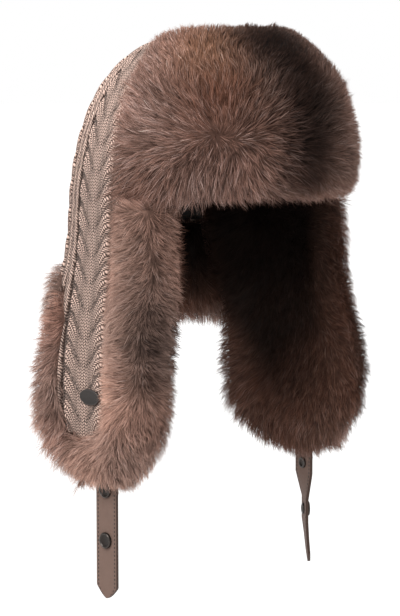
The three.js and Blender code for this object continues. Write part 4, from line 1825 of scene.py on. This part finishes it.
@dataclass(frozen=True)
class Snap:
    """A gunmetal snap: a dished cap with a round rim, its post and a holed back.

    The profile's rows are a radius and a height in millimetres, and how far the metal is rubbed.
    """

    face: float = 0.00115
    steps: int = 48
    profile: tuple[tuple[float, float, float], ...] = (
        (0, 1.35, 0), (3.7, 1.35, 0), (4.2, 1.5, 0.1), (4.7, 2.0, 0.6), (5.15, 2.25, 1), (5.6, 2.1, 0.8),
        (5.95, 1.6, 0.2), (6.1, 0.9, 0), (6.0, 0.3, 0), (5.6, 0, 0), (1.7, 0, 0), (1.7, -2.3, 0),
        (4.5, -2.3, 0), (4.55, -3.0, 0.3), (4.2, -3.7, 0.9), (3.5, -3.9, 0.7), (2.7, -3.6, 0.2),
        (2.2, -2.9, 0), (0, -2.8, 0),
    )

    def build(self, node: str, strap: Strap, level: float) -> None:
        """Make the snap on its strap and dress it.

        Args:
            node: The solid that it stands for.
            strap: The strap that carries it.
            level: Its level on the strap.
        """
        work = bmesh.new()
        rubbed = work.verts.layers.float.new("rubbed")
        chain = []
        for radius, height, worn in self.profile:
            vert = work.verts.new((radius * MM, 0, height * MM + self.face))
            vert[rubbed] = worn
            chain.append(vert)
        edges = [work.edges.new(pair) for pair in zip(chain, chain[1:])]
        bmesh.ops.spin(work, geom=chain + edges, cent=(0, 0, 0), axis=(0, 0, 1), angle=2 * math.pi,
                       steps=self.steps, use_merge=True)
        bmesh.ops.remove_doubles(work, verts=work.verts, dist=0.00001)
        bmesh.ops.recalc_face_normals(work, faces=work.faces)
        middle, along, face = (Vector(part[0]) for part in strap.lay(np.array([level])))
        outward = face * strap.side.value
        third = outward.cross(along)
        basis = Matrix((along, third, outward)).transposed().to_4x4()
        basis.translation = middle
        bmesh.ops.transform(work, matrix=basis, verts=work.verts)
        bmesh.ops.recalc_face_normals(work, faces=work.faces)
        mesh = bmesh_to_mesh(work, node + "_metal")
        mesh.set_sharp_from_angle(angle=math.radians(38))
        dress(mesh_object(node + "_metal", mesh), Gunmetal(node + "_gunmetal").make(), [node])


@dataclass(frozen=True)
class Studio:
    """A pale floor, soft light from the upper left, and the camera; angles are in degrees."""

    azimuth: float = -44.0
    elevation: float = 6.7
    distance: float = 1.6
    target_z: float = -0.201
    aim_right: float = 0.0015
    lens: float = 121.4
    sensor: float = 36.0
    floor_level: float = -0.62
    floor_radius: float = 30.0
    sky: float = 0.62
    sun: float = 2.6
    sun_softness: float = 28.0
    sun_azimuth: float = -84.0
    sun_elevation: float = 46.0
    sun_distance: float = 3.0

    def _away(self, azimuth: float, elevation: float) -> Vector:
        """Return the way from the hat that an azimuth and an elevation in degrees give."""
        turn, tilt = math.radians(azimuth), math.radians(elevation)
        return Vector((math.sin(turn) * math.cos(tilt), -math.cos(turn) * math.cos(tilt), math.sin(tilt)))

    def _look(self, thing: bpy.types.Object, place: Vector, target: Vector) -> None:
        """Put a lamp or camera at a place and point it at a target."""
        thing.location = place
        thing.rotation_euler = (target - place).to_track_quat("-Z", "Y").to_euler()
        bpy.context.scene.collection.objects.link(thing)

    def _build_sky(self) -> None:
        """Make a white surround that lights the hat softly."""
        world = bpy.data.worlds.new("studio_sky")
        world.use_nodes = True
        nodes = world.node_tree.nodes
        seen = nodes.new("ShaderNodeLightPath").outputs["Is Camera Ray"]
        level = nodes.new("ShaderNodeMath")
        level.operation = "MULTIPLY_ADD"
        level.inputs[1].default_value = 1.0 - self.sky
        level.inputs[2].default_value = self.sky
        world.node_tree.links.new(seen, level.inputs[0])
        world.node_tree.links.new(level.outputs[0], nodes["Background"].inputs["Strength"])
        nodes["Background"].inputs["Color"].default_value = shaded(WHITE)
        bpy.context.scene.world = world

    def build(self) -> None:
        """Make the floor, the light and the camera."""
        turn = math.radians(self.azimuth)
        right = Vector((math.cos(turn), math.sin(turn), 0))
        back = self._away(self.azimuth, self.elevation)
        target = Vector((0, 0, self.target_z))
        lens = bpy.data.cameras.new("camera")
        lens.sensor_fit = "VERTICAL"
        lens.sensor_height = self.sensor
        lens.lens = self.lens
        lens.clip_end = 100.0
        camera = bpy.data.objects.new("camera", lens)
        aim = target + right * self.aim_right
        self._look(camera, aim + back * self.distance, aim)
        bpy.context.scene.camera = camera

        lamp = bpy.data.lights.new("key", "SUN")
        lamp.energy = self.sun
        lamp.angle = math.radians(self.sun_softness)
        way = self._away(self.sun_azimuth, self.sun_elevation)
        self._look(bpy.data.objects.new("key", lamp), target + way * self.sun_distance, target)
        self._build_sky()
        bpy.context.scene.view_settings.view_transform = "Standard"

        work = bmesh.new()
        bmesh.ops.create_circle(work, cap_ends=True, segments=96, radius=self.floor_radius)
        bmesh.ops.translate(work, vec=(0, 0, self.floor_level), verts=work.verts)
        floor = mesh_object("pale_floor", bmesh_to_mesh(work, "pale_floor", shade_smooth=False))
        paint = Graph("floor_paint")
        paint.set(Base_Color=shaded(WHITE), Roughness=0.9, Specular_IOR_Level=0.1)
        floor.data.materials.append(paint.material)


def main() -> None:
    """Build the hat piece by piece, then the studio around it."""
    logging.basicConfig(level=logging.INFO, format="%(name)s: %(message)s")
    KnittedCrown().build()
    QuiltedLining().build()
    walls = [wall_tree(node) for node in ("knit_shell", "crown_lining")]
    for pelt in (BrowPelt(), NapePelt(), NearEarPelt(), FarEarPelt()):
        pelt.build(walls)
    for side in Side:
        Strap(side).build()
    Studio().build()


if __name__ == "__main__":
    main()
